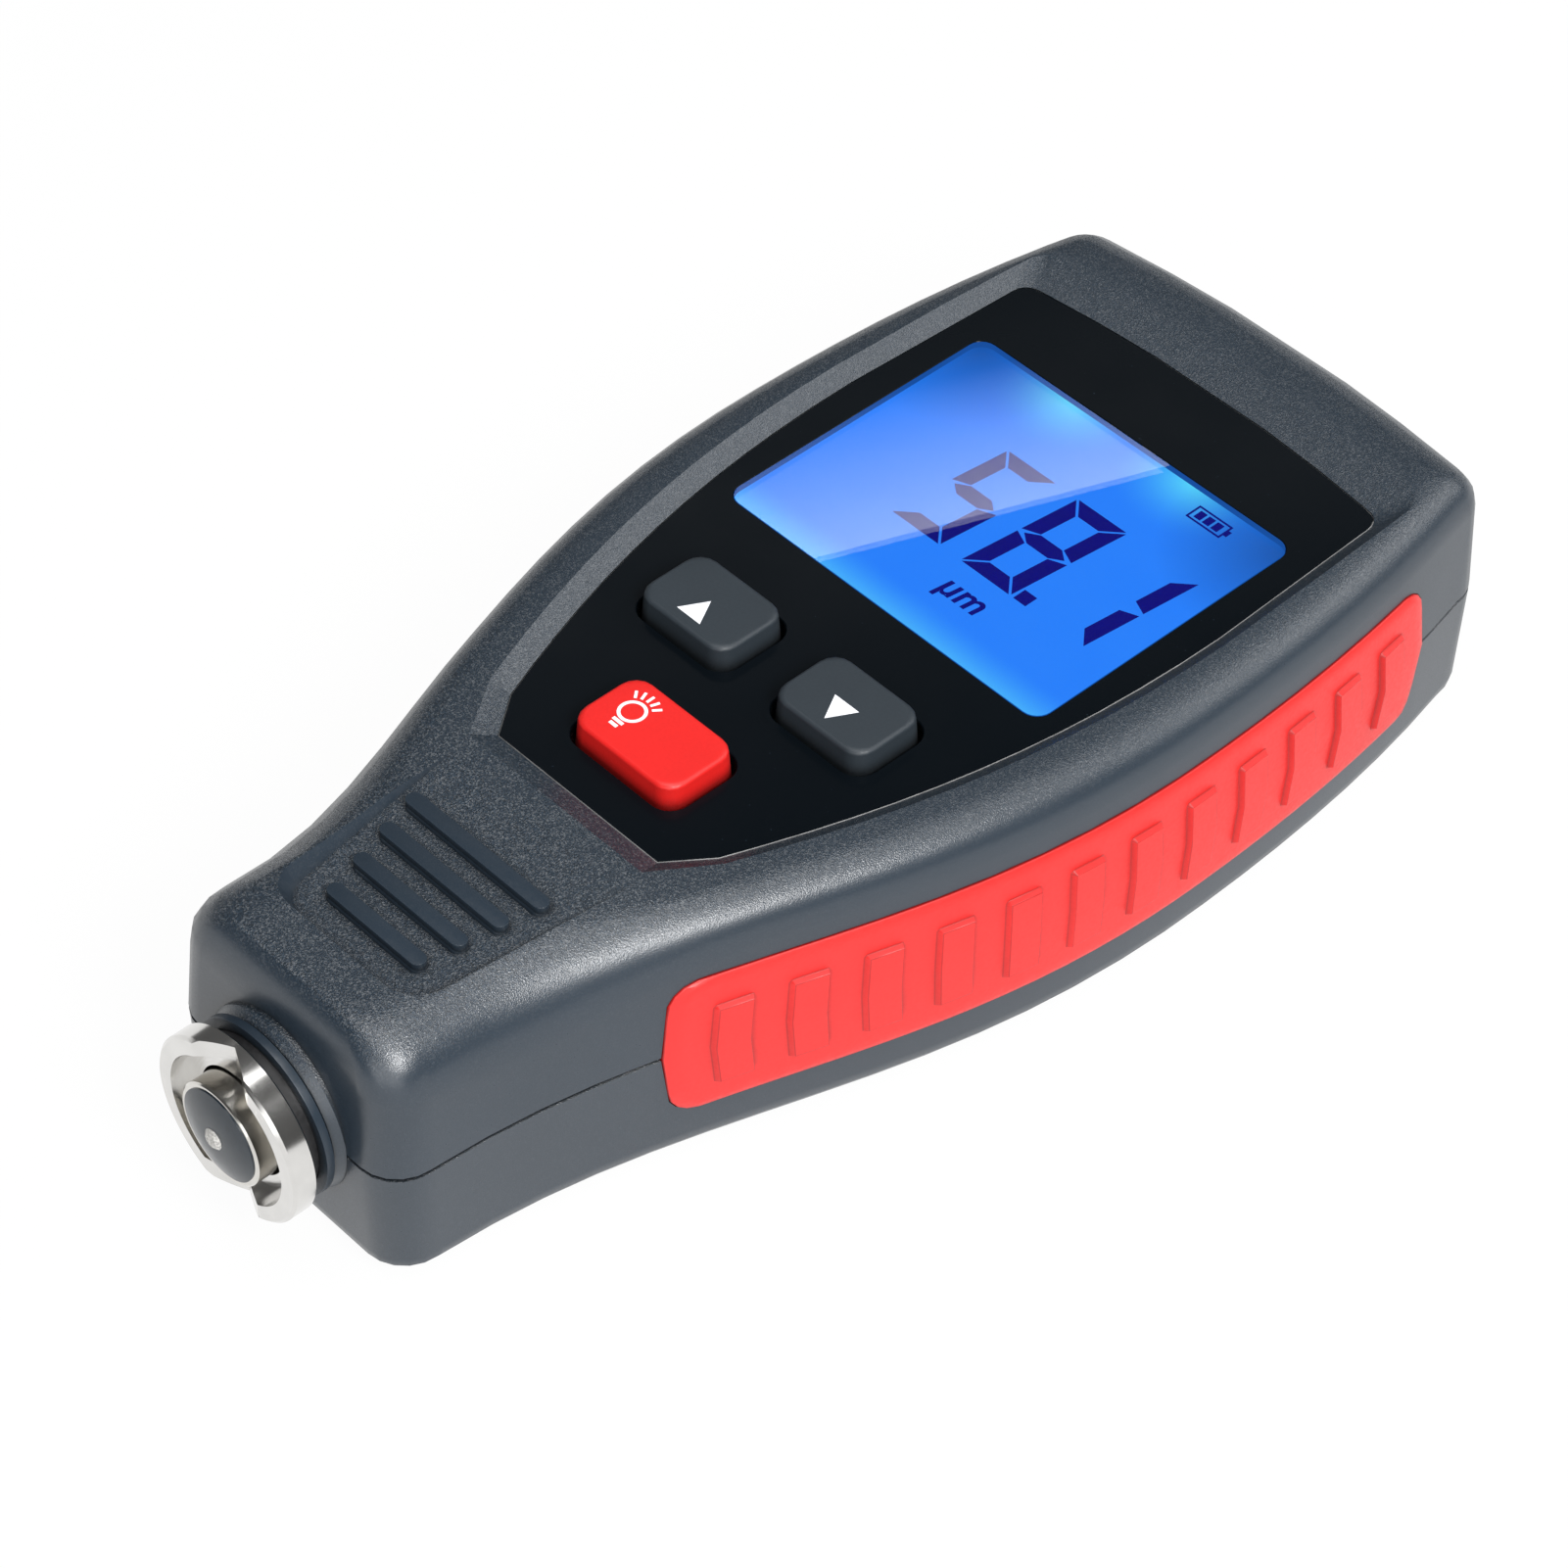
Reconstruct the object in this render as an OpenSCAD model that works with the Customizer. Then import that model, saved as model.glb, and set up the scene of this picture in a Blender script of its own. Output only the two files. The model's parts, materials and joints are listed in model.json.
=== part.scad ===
// Hand-held coating thickness gauge: two moulded housing halves with side grips, a backlit display
// under a black panel, three keys, a sprung probe inside a notched guard ring and two AAA cells.
// The back lies on Z = 0, the probe points to -Y and the display reads from the -Y side.

/* [Housing] */
// Length from the nose face to the middle of the rear edge
body_l = 119; // [114:1:126]
// Greatest width at the parting line
body_w = 58.2; // [56:0.2:62]
// Height from the back to the rim
body_h = 26.4; // [26:0.1:29]
// Height of the parting line and of the probe axis
part_z = 13.2; // [12.9:0.1:14]
// Width of the nose at the parting line
nose_w = 28.4; // [27:0.2:31]
// Width at the rear corners
rear_w = 50.8; // [49:0.2:53]
// Distance from the nose face to the widest place
widest_at = 76; // [70:1:82]
// Distance from the nose face at which the flanks flare
flare_at = 31; // [26:1:36]
// Extra half width of the neck where the flare starts
flare_in = 1.1; // [0.4:0.1:2]
// Length of the rounded shoulder in front of the widest place
shoulder_l = 31; // [24:1:36]
// Plan radius of the nose corners
nose_corner = 4; // [3.4:0.1:4.6]
// Plan radius of the rear corners
rear_corner = 4.4; // [3.6:0.1:6]
// Sagitta of the bowed rear edge
rear_sag = 1.4; // [0.8:0.1:2.2]
// Wall of the housing halves
wall = 2; // [1.6:0.1:2.4]
// Radius of the roll from the sides to the top
roll = 4; // [3:0.1:4.6]
// Extra radius of the roll along the sides of the nose
nose_swell = 3.2; // [0:0.1:4]
// Depth of the roll at the nose face
nose_roll = 2.6; // [2:0.1:3.6]
// Length of the roll down to the rear edge
rear_roll = 5.6; // [4.6:0.1:7.4]
// Radius round the edge of the back
back_round = 2.8; // [2:0.1:3.4]
// Draft of the upper half, as an inset at the foot of the roll
draft_up = 0.5; // [0.2:0.1:0.8]
// Draft of the lower half, as an inset at the edge of the back
draft_low = 0.3; // [0.1:0.1:0.8]
// Depth of the groove along the parting line
seam_d = 0.45; // [0.2:0.05:0.7]
// Half height of the groove along the parting line
seam_h = 0.2; // [0.1:0.05:0.35]

/* [Display panel] */
// Depth of the panel below the rim
panel_drop = 1.2; // [0.8:0.1:1.6]
// Thickness of the panel and of its lens
panel_t = 1.2; // [1:0.1:1.5]
// Greatest width of the panel
panel_w = 44.8; // [44:0.2:46]
// Width of the panel's straight front edge
panel_front_w = 19.6; // [16:0.2:22]
// Width of the panel where its front corners end
panel_neck_w = 25.6; // [24:0.2:27]
// Distance from the nose face to the panel's front edge
panel_at = 32; // [31:0.5:33]
// Length of the panel along its middle
panel_l = 75; // [74:0.5:76.5]
// Length of the panel's slanted front corners
panel_corner_l = 4; // [3:0.2:5]
// Sagitta of the panel's bowed rear edge
panel_sag = 1.3; // [0.6:0.1:1.8]
// Radius of the panel's rear corners
panel_round = 1.8; // [1:0.1:2.4]
// Width of the sloped rim beside the panel
rim_side = 1.6; // [1:0.1:2]
// Width of the sloped rim behind the panel
rim_rear = 3.7; // [2:0.1:4]
// Width of the sloped rim in front of the panel
rim_front = 2.4; // [1.5:0.1:2.6]
// Thickness of the shelf under the panel
shelf_t = 1.6; // [1.4:0.1:1.8]
// Width of the display window
window_w = 38; // [36:0.2:39]
// Length of the display window
window_l = 31.3; // [30:0.1:32]
// Distance from the nose face to the window
window_at = 66; // [65.5:0.5:66.5]
// Corner radius of the window
window_round = 1.6; // [1:0.1:2]

/* [Keys] */
// Width of the arrow keys
arrow_w = 11.2; // [10:0.1:12]
// Width of the calibrate key
cal_w = 12.8; // [11:0.1:14]
// Length of every key from front to rear
key_l = 8.15; // [7:0.05:8.4]
// Space between the arrow keys
arrow_gap = 5.4; // [4:0.1:7]
// Distance from the nose face to the middle of the arrow keys
arrow_at = 54.45; // [54:0.05:55]
// Distance from the nose face to the middle of the calibrate key
cal_at = 40.4; // [40:0.1:41]
// Height of the keys above the panel
key_rise = 2; // [1.4:0.1:2.4]
// Travel of the keys
key_travel = 1; // [0.6:0.1:1.2]
// Corner radius of the keys
key_round = 1.8; // [1:0.1:2.4]
// Round along the top edge of the keys
key_edge = 0.4; // [0.3:0.1:1]
// Taper of the keys at each side
key_draft = 0.25; // [0:0.05:0.4]
// Clearance round the keys
key_gap = 0.3; // [0.2:0.05:0.5]
// Width of the flange that holds a key under the shelf
key_flange = 1; // [0.8:0.1:1.2]

/* [Thumb rest] */
// Distance from the nose face to the front edge of the thumb rest
rest_at = 6.7; // [6.2:0.1:7.2]
// Length of the thumb rest
rest_l = 20.7; // [20:0.1:21.5]
// Depth of the thumb rest at its front edge
rest_d = 2.1; // [1.4:0.1:2.2]
// Width of the thumb rest's rear edge
rest_w = 22.4; // [20:0.2:23]
// Width of the thumb rest's front part
rest_front_w = 19; // [17:0.2:20]
// Plan radius of the thumb rest's front corners
rest_round = 3.6; // [2.6:0.1:4.6]
// Width of the slope round the thumb rest
rest_slope = 1.1; // [0.8:0.1:2.2]
// Width of a rib
rib_w = 1.7; // [1:0.1:1.8]
// Height of a rib
rib_h = 0.7; // [0.3:0.05:0.8]
// Number of ribs
rib_count = 4; // [2:1:5]
// Distance between the ribs
rib_pitch = 3.5; // [3:0.1:3.8]
// Distance from the front edge of the thumb rest to the first rib
rib_at = 4.2; // [3.6:0.1:4.6]
// Length of the first rib
rib_l = 11.6; // [9:0.2:12]
// Extra length of each rib behind it
rib_step = 1.8; // [0.5:0.1:2.2]

/* [Grips] */
// Distance from the nose face to the front end of the grips
grip_at = 26.1; // [24:0.1:30]
// Length of the grips
grip_l = 80; // [70:0.2:83]
// Height of the grips' lower edge above the back
grip_z = 5.7; // [4.4:0.1:6]
// Height of the grips
grip_h = 15; // [12:0.1:15.4]
// Height by which the grips stand proud of the housing
grip_proud = 0.5; // [0.3:0.05:0.7]
// Depth of the beds in the housing
grip_bed = 0.8; // [0.5:0.1:1]
// Clearance round the grips in their beds
grip_gap = 0.1; // [0.05:0.05:0.2]
// Radius of the grips' corners
grip_round = 2.5; // [1.5:0.1:2.8]
// Distance by which the ends point out at the parting line
grip_point = 0.9; // [0:0.1:1.4]
// Number of raised pads on a grip
pad_count = 12; // [8:1:13]
// Distance between the pads
pad_pitch = 6.3; // [5:0.1:6.5]
// Width of a pad
pad_w = 3.3; // [2:0.1:4]
// Height of a pad along the grip's face
pad_h = 9; // [6:0.1:10]
// Thickness of a pad
pad_t = 0.5; // [0.2:0.05:0.6]

/* [Probe] */
// Distance from the nose face to the probe's tip
probe_out = 7; // [6:0.1:8]
// Outer radius of the guard ring
ring_r = 8.7; // [8.4:0.1:9.4]
// Inner radius of the guard ring
ring_in = 7; // [6.8:0.1:7.2]
// Length of the guard ring
ring_l = 2.3; // [2:0.1:2.6]
// Distance from the nose face to the front of the guard ring
ring_out = 5.4; // [5:0.1:5.6]
// Half width of the notches across the guard ring
notch_w = 3.4; // [2.4:0.1:4]
// Depth of the notches
notch_d = 1.7; // [1:0.1:1.8]
// Radius of the neck behind the guard ring
neck_r = 7.2; // [7:0.1:7.4]
// Radius of the collar at the nose face
collar_r = 8.5; // [8.2:0.1:9.5]
// Length of the collar
collar_l = 1; // [0.6:0.1:1.4]
// Outer radius of the probe's sleeve
sleeve_r = 4.85; // [4.6:0.05:5]
// Wall of the probe's sleeve
sleeve_t = 0.5; // [0.4:0.05:0.6]
// Distance from the nose face to the front of the sleeve
sleeve_out = 6; // [5.6:0.1:6.2]
// Clearance of the sleeve in its guide
sleeve_gap = 0.25; // [0.15:0.05:0.35]
// Radius of the measuring tip
tip_r = 1; // [0.6:0.05:1.2]
// Travel of the probe
probe_travel = 2.5; // [1.5:0.1:3]
// Wall of the guide that the sleeve slides in
guide_t = 1.4; // [1:0.1:1.6]
// Length of the guide behind the guard ring
guide_l = 7.4; // [6:0.1:9]
// Length of the probe's bush behind the nose face
bush_l = 20; // [18.5:0.5:21]
// Wall of the bush
bush_t = 1.3; // [1:0.1:1.5]
// Wire diameter of the probe's spring
spring_wire = 0.8; // [0.6:0.1:1]
// Turns of the probe's spring
spring_turns = 5; // [3:1:6]

/* [Battery and board] */
// Diameter of a cell
cell_d = 10.4; // [10:0.1:10.5]
// Length of a cell with its button
cell_l = 44.4; // [44:0.1:44.6]
// Space between the cells
cell_gap = 0.8; // [0.4:0.1:1.4]
// Distance from the nose face to the front wall of the battery bay
bay_at = 54; // [50:1:55]
// Room for the springs in front of the cells
spring_room = 4.6; // [4:0.1:5]
// Wall of the battery bay
bay_t = 1; // [0.8:0.1:1.2]
// Thickness of the battery door
door_t = 1.9; // [1.6:0.1:2]
// Clearance round the battery door
door_gap = 0.2; // [0.15:0.05:0.3]
// Width of the rails along the battery door
rail_w = 1.2; // [0.8:0.1:1.5]
// Number of finger grooves across the battery door
groove_count = 5; // [3:1:7]
// Distance between the finger grooves
groove_pitch = 2.6; // [2.2:0.1:3]
// Length of the finger grooves
groove_l = 15; // [10:0.5:20]
// Thickness of the main board
board_t = 1.6; // [1.2:0.1:1.6]
// Distance from the shelf down to the main board
board_drop = 4; // [3.8:0.1:4.2]
// Radius of the housing screws' heads
screw_head = 2.5; // [2.2:0.1:2.7]
// Radius of the housing screws' shanks
screw_r = 1.25; // [1:0.05:1.3]

/* [Hidden] */
$fn = 48;
eps = 0.01;
nose_y = probe_out - (body_l + probe_out) / 2;
rear_y = nose_y + body_l;
widest_y = nose_y + widest_at;
roll_z = body_h - roll;
panel_z = body_h - panel_drop;
shelf_z = panel_z - panel_t - shelf_t;
board_z = shelf_z - board_drop;
corner_steps = 5;
corner_run = 0.5;
flank_steps = 22;

// Plan outline of the housing and its side surface
flank_front = [[nose_w / 2, nose_y + nose_corner], [nose_w / 2 + flare_in, nose_y + flare_at],
    [body_w / 2, widest_y - shoulder_l], [body_w / 2, widest_y]];
flank_end_y = rear_y - rear_sag - rear_corner;
rear_flank_l = flank_end_y - widest_y;
rear_hold = 0.42;
rear_turn = 0.74;
rear_bulge = 2.2;
flank_rear = [[body_w / 2, widest_y], [body_w / 2, widest_y + rear_flank_l * rear_hold],
    [rear_w / 2 + rear_bulge, widest_y + rear_flank_l * rear_turn], [rear_w / 2, flank_end_y]];
function bezier(p, t) =
    pow(1 - t, 3) * p[0] + 3 * pow(1 - t, 2) * t * p[1] + 3 * (1 - t) * t * t * p[2] + pow(t, 3) * p[3];
function solve(p, y, low, high, steps) = steps == 0 ? (low + high) / 2 :
    let (mid = (low + high) / 2)
    bezier(p, mid)[1] < y ? solve(p, y, mid, high, steps - 1) : solve(p, y, low, mid, steps - 1);
function at_y(p, y) = bezier(p, solve(p, y, 0, 1, 16))[0];
function half_w(y) = at_y(y < widest_y ? flank_front : flank_rear, y);
function draft(z) = z > part_z ? draft_up * (z - part_z) / (roll_z - part_z)
    : draft_low * (part_z - z) / (part_z - back_round);
function arc(cx, cy, r, a0, a1, steps) =
    [for (k = [0:steps]) let (a = a0 + (a1 - a0) * k / steps) [cx + r * cos(a), cy + r * sin(a)]];
function mirrored(half) = concat(half, [for (k = [len(half) - 1:-1:0]) [-half[k][0], half[k][1]]]);
// The plan outline, drawn in by an inset at the sides, the nose and the rear
function outline(side, front, rear) =
    let (r_rear = max(1.5, rear_corner - side))
    let (x_rear = rear_w / 2 - side - r_rear)
    let (y_nose = nose_y + front + nose_corner)
    let (y0 = y_nose + corner_run)
    let (y1 = flank_end_y - rear)
    mirrored(concat(
        arc(nose_w / 2 - side - nose_corner, y_nose, nose_corner, -90, 0, corner_steps),
        [for (k = [0:flank_steps]) let (y = y0 + (y1 - y0) * k / flank_steps) [half_w(y) - side, y]],
        [for (p = arc(x_rear, rear_y - rear_sag - rear - r_rear, r_rear, 14, 86, corner_steps)) p],
        [for (k = [2:-1:1]) [x_rear * k / 3, rear_y - rear - rear_sag * pow(k / 3, 2)]]));
function lifted(points, z) = [for (p = points) [p[0], p[1], z]];

// Solid through a stack of rings that have the same number of points. Each ring is symmetric, or
// convex, so its end faces are strips that run across it from one side to the other.
function strip(n) = [for (j = [0:ceil(n / 2) - 2]) let (b = j + 1, c = n - 2 - j)
    each b < c ? [[j, b, c], [j, c, c + 1]] : [[j, c, c + 1]]];
module loft(rings) {
    n = len(rings[0]);
    last = len(rings) - 1;
    sides = [for (k = [0:last - 1], j = [0:n - 1]) let (a = k * n + j, b = k * n + (j + 1) % n)
        each [[a, a + n, b + n], [a, b + n, b]]];
    top = [for (face = strip(n)) [for (k = [2:-1:0]) face[k] + last * n]];
    polyhedron([for (ring = rings) each ring], concat(strip(n), sides, top));
}
function rounded(w, l, r, steps) = [for (c = [[1, -1, -90], [1, 1, 0], [-1, 1, 90], [-1, -1, 180]])
    each arc(c[0] * (w / 2 - r), c[1] * (l / 2 - r), r, c[2], c[2] + 90, steps)];
module rounded_block(w, l, r, h) {
    linear_extrude(h) polygon(rounded(w, l, r, 6));
}
module along_y(y, z) {
    translate([0, y, z]) rotate([-90, 0, 0]) children();
}

// Outer and inner forms of the two housing halves, which overlap until the parting plane cuts them
overlap = 1;
// The roll swells along the sides of the nose and is plain across the nose face
function ease(t) = let (u = max(0, min(1, t))) u * u * (3 - 2 * u);
swell_front = 0.45;
swell_full = 0.35;
swell_l = 36;
function swell(p) = let (t = (p[1] - nose_y) / swell_l)
    nose_swell * (swell_front + (1 - swell_front) * ease(t / swell_full)) * ease((1 - t) / (1 - swell_full))
        * ease(2 * abs(p[0]) / nose_w);
module upper_form() {
    top_steps = 5;
    loft(concat(
        [for (z = [part_z - overlap, part_z]) lifted(outline(seam_d, seam_d, seam_d), z)],
        [lifted(outline(0, 0, 0), part_z + seam_h)],
        [for (k = [0:top_steps]) let (a = 90 * k / top_steps, s = 1 - cos(a))
            [for (p = outline(draft_up + roll * s, draft_up + nose_roll * s, draft_up + rear_roll * s))
                [p[0] - sign(p[0]) * swell(p) * s, p[1], body_h - (roll + swell(p)) * (1 - sin(a))]]]));
}
module lower_form() {
    round_steps = 4;
    loft(concat(
        [for (k = [0:round_steps]) let (a = 90 * k / round_steps, s = draft_low + back_round * (1 - sin(a)))
            lifted(outline(s, s, s), back_round * (1 - cos(a)))],
        [lifted(outline(0, 0, 0), part_z - seam_h)],
        [for (z = [part_z, part_z + overlap]) lifted(outline(seam_d, seam_d, seam_d), z)]));
}
module upper_hollow() {
    low = wall;
    mid = wall + draft_up;
    high = wall + draft_up + roll / 2;
    loft([lifted(outline(low, low, low), part_z - 2 * overlap), lifted(outline(low, low, low), part_z),
        lifted(outline(mid, mid, mid), shelf_z - roll / 2), lifted(outline(high, mid, high), shelf_z)]);
}
module lower_hollow() {
    low = wall + draft_low + back_round / 2;
    mid = wall + draft_low;
    loft([lifted(outline(low, low, low), wall), lifted(outline(mid, mid, mid), wall + back_round / 2),
        for (z = [part_z, part_z + 2 * overlap]) lifted(outline(wall, wall, wall), z)]);
}
// Space on the far side of the parting plane from a housing half
module beyond_parting(upper) {
    high = body_h;
    translate([-body_w, nose_y - body_l / 2, upper ? part_z - high : part_z])
        cube([2 * body_w, 2 * body_l, high]);
}

// Outline of the panel, let out at the sides, the front and the rear
panel_y = nose_y + panel_at;
panel_rear = panel_y + panel_l;
panel_neck_y = panel_y + panel_corner_l;
panel_wide_share = 0.68;
panel_flare = [6, 15];
panel_shoulder_l = 19;
panel_taper = 0.7;
panel_wide_y = panel_neck_y + (panel_rear - panel_neck_y) * panel_wide_share;
panel_flank = [[panel_neck_w / 2, panel_neck_y], [panel_neck_w / 2, panel_neck_y] + panel_flare,
    [panel_w / 2, panel_wide_y - panel_shoulder_l], [panel_w / 2, panel_wide_y]];
panel_flank_steps = 12;
function panel_outline(side, front, rear) =
    let (x1 = panel_w / 2 - panel_taper + side - panel_round)
    let (y1 = panel_rear - panel_sag + rear - panel_round)
    mirrored(concat(
        [[panel_front_w / 2 + side / 2, panel_y - front]],
        [for (k = [0:panel_flank_steps]) bezier(panel_flank, k / panel_flank_steps) + [side, -side / 2]],
        arc(x1, y1, panel_round, 0, 88, corner_steps),
        [for (k = [2:-1:1]) [x1 * k / 3, panel_rear + rear - panel_sag * pow(k / 3, 2)]]));

// Places of the keys, the window, the battery bay and the screws
window_y = nose_y + window_at + window_l / 2;
arrow_x = (arrow_gap + arrow_w) / 2;
arrow_y = nose_y + arrow_at;
cal_y = nose_y + cal_at;
KEYS = [[-arrow_x, arrow_y, arrow_w], [arrow_x, arrow_y, arrow_w], [0, cal_y, cal_w]];
cell_r = cell_d / 2;
cell_x = (cell_d + cell_gap) / 2;
cell_room = 0.3;
plate_t = 0.4;
cell_fit = 0.1;
cell_z = door_t + cell_room + cell_r;
bay_y = nose_y + bay_at;
bay_l = spring_room + cell_l + plate_t + 2 * cell_fit;
bay_w = 2 * cell_d + cell_gap + 2 * cell_room;
bay_h = cell_z + cell_r + cell_room;
door_w = bay_w + 2 * bay_t;
door_y = bay_y - bay_t;
panel_gap = 0.1;
lens_gap = 0.03;
lcd_w = window_w + 1.6;
lcd_l = window_l + 2.2;
lcd_gap = 0.15;
glass_t = 2.2;
glass_gap = 0.1;
glass_z = panel_z - panel_t - glass_gap - glass_t;
contact_l = 2.4;
frame_t = 1.4;
key_hang = 0.1;
flange_t = 0.9;
switch_w = 6;
chip_w = 12;
chip_t = 1.3;
chip_gap = 1;
rail_z = 0.8;
groove_r = 1.1;
groove_d = 0.5;
groove_in = 5;
boss_r = screw_head + 0.9;
screw_sink = 3;
screw_head_h = 1.8;
screw_bite = 6.5;
post_front = [9.6, nose_y + 29.2];
post_rear = [17.6, rear_y - 9];
POSTS = [for (side = [-1, 1], p = [post_front, post_rear]) [side * p[0], p[1]]];
board_at = 34.5;
board_front_w = 24;
board_w = 46;
board_rear_y = rear_y - 13.4;
board_post_r = 2.1;
board_screw_r = 0.95;
board_head_h = 1.2;
board_bite = 2.6;
board_post_front = [13.6, nose_y + 45.4];
board_post_rear = [20, rear_y - 16];
BOARD_POSTS = [for (side = [-1, 1], p = [board_post_front, board_post_rear]) [side * p[0], p[1]]];

// Band along the right flank, from a depth inside the side surface to a height outside it
grip_y = nose_y + grip_at;
grip_edge = 0.9;
pad_edge = 0.22;
pad_first = grip_l / 2 - (pad_count - 1) * pad_pitch / 2;
PAD_EDGES = [-pad_w / 2, -pad_w / 2 + pad_edge, pad_w / 2 - pad_edge, pad_w / 2];
function on_pad(u, v) =
    let (k = max(0, min(pad_count - 1, round((u - pad_first) / pad_pitch))))
    let (du = abs(u - pad_first - k * pad_pitch))
    du <= pad_w / 2 - pad_edge + eps && abs(v - grip_h / 2) <= pad_h / 2 - pad_edge + eps;
// The ends are rounded at the corners and point out a little at the parting line
function grip_end(v) =
    let (t = abs(v - part_z + grip_z) / (grip_h / 2))
    let (d = max(0, grip_round - max(0, min(v, grip_h - v))))
    grip_point * max(0, 1 - t) - grip_round + sqrt(grip_round * grip_round - d * d);
function grip_reach(u, v) = u + grip_end(v) * (2 * u / grip_l - 1);
function grip_rim(u, v) = min(1, max(0, min(min(u, grip_l - u), min(v, grip_h - v))) / grip_edge);
function grip_point_at(u, v, d) =
    let (y = grip_y + grip_reach(u, v))
    [half_w(y) - draft(grip_z + v) + d, y, grip_z + v];
module grip_band(inside, outside, gap, pads) {
    low = [-gap, grip_edge / 3, grip_edge, grip_edge * 2];
    high = [for (k = [3:-1:0]) grip_h - low[k]];
    pad_v = [-pad_h / 2, -pad_h / 2 + pad_edge, pad_h / 2 - pad_edge, pad_h / 2];
    pad_us = [for (k = [0:pad_count - 1], e = PAD_EDGES) pad_first + k * pad_pitch + e];
    bed_steps = 16;
    us = pads ? concat([0, grip_edge, 2 * grip_edge], pad_us,
            [grip_l - 2 * grip_edge, grip_l - grip_edge, grip_l])
        : [for (k = [0:bed_steps]) -gap + (grip_l + 2 * gap) * k / bed_steps];
    mid = part_z - grip_z;
    vs = concat(low, pads ? [for (k = [0, 1]) grip_h / 2 + pad_v[k]] : [], [mid],
        pads ? [for (k = [2, 3]) grip_h / 2 + pad_v[k]] : [], high);
    nu = len(us);
    nv = len(vs);
    n = nu * nv;
    edge_low = 0.3;
    function height(u, v) = !pads ? outside
        : outside * (edge_low + (1 - edge_low) * sqrt(grip_rim(u, v))) + (on_pad(u, v) ? pad_t : 0);
    outer = [for (u = us, v = vs) grip_point_at(u, v, height(u, v))];
    inner = [for (u = us, v = vs) grip_point_at(u, v, -inside)];
    quads = [for (i = [0:nu - 2], j = [0:nv - 2]) let (a = i * nv + j, b = a + nv)
        each [[a, a + 1, b + 1], [a, b + 1, b], [a + n, b + n + 1, a + n + 1], [a + n, b + n, b + n + 1]]];
    ends = [for (j = [0:nv - 2], i = [0, nu - 1]) let (a = i * nv + j)
        each i == 0 ? [[a, a + n, a + n + 1], [a, a + n + 1, a + 1]]
            : [[a, a + n + 1, a + n], [a, a + 1, a + n + 1]]];
    edges = [for (i = [0:nu - 2], j = [0, nv - 1]) let (a = i * nv + j, b = a + nv)
        each j == 0 ? [[a, b, b + n], [a, b + n, a + n]] : [[a, b + n, b], [a, a + n, b + n]]];
    polyhedron(concat(outer, inner), concat(quads, ends, edges));
}
module grip_cut(side) {
    beyond = 3;
    mirror([side < 0 ? 1 : 0, 0, 0]) grip_band(grip_bed + grip_gap, beyond, grip_gap, false);
}

// Sunk thumb rest whose floor slopes down to the nose, with ribs across it
rest_y = nose_y + rest_at;
function rest_z(y) = body_h - rest_d * (rest_y + rest_l - y) / rest_l;
function rest_half(inset) = concat(
    arc(rest_front_w / 2 - rest_round, rest_y + rest_round, rest_round - inset, -90, -5, corner_steps),
    [[rest_w / 2 - inset, rest_y + rest_l + 1]]);
module thumb_cut() {
    above = 0.6;
    loft([[for (p = mirrored(rest_half(rest_slope))) [p[0], p[1], rest_z(p[1])]],
        lifted(mirrored(rest_half(0)), body_h),
        lifted(mirrored(rest_half(0)), body_h + above)]);
}
module ribs() {
    r = (rib_w * rib_w / 4 + rib_h * rib_h) / (2 * rib_h);
    for (k = [0:rib_count - 1]) {
        y = rest_y + rib_at + k * rib_pitch;
        l = rib_l + k * rib_step;
        translate([0, y, rest_z(y) + rib_h - r]) {
            rotate([0, 90, 0]) cylinder(h = l - rib_w, r = r, center = true);
            for (side = [-1, 1])
                translate([side * (l - rib_w) / 2, 0, 0]) sphere(r);
        }
    }
}

// Collar, saddle and bore for the probe, one half in each housing half
guide_in = sleeve_r + sleeve_gap;
guide_r = guide_in + guide_t;
bush_r = guide_r + bush_t;
bush_fit = 0.05;
seat_y = nose_y + wall + draft_up;
saddle_t = 1.6;
saddle_y = nose_y + bush_l * 0.6;
module collar() {
    lip = [0.4, 0.8, 0.2];
    end = seat_y - nose_y + collar_l;
    along_y(nose_y - collar_l, part_z) rotate_extrude() polygon([[neck_r - 1, 0], [neck_r + lip[0], 0],
        [neck_r + lip[1], lip[2]], [collar_r, collar_l], [collar_r, end], [neck_r - 1, end]]);
}
module saddle(upper) {
    low = upper ? part_z - overlap : wall / 2;
    high = upper ? shelf_z + shelf_t / 2 : part_z + overlap;
    translate([-bush_r - 1, saddle_y, low]) cube([2 * bush_r + 2, saddle_t, high - low]);
}
module probe_bore() {
    through = collar_l + wall + draft_up + 2;
    along_y(nose_y - collar_l - 1, part_z) cylinder(h = through, r = neck_r + bush_fit);
    along_y(seat_y, part_z) cylinder(h = bush_l, r = bush_r + bush_fit);
}

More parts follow.
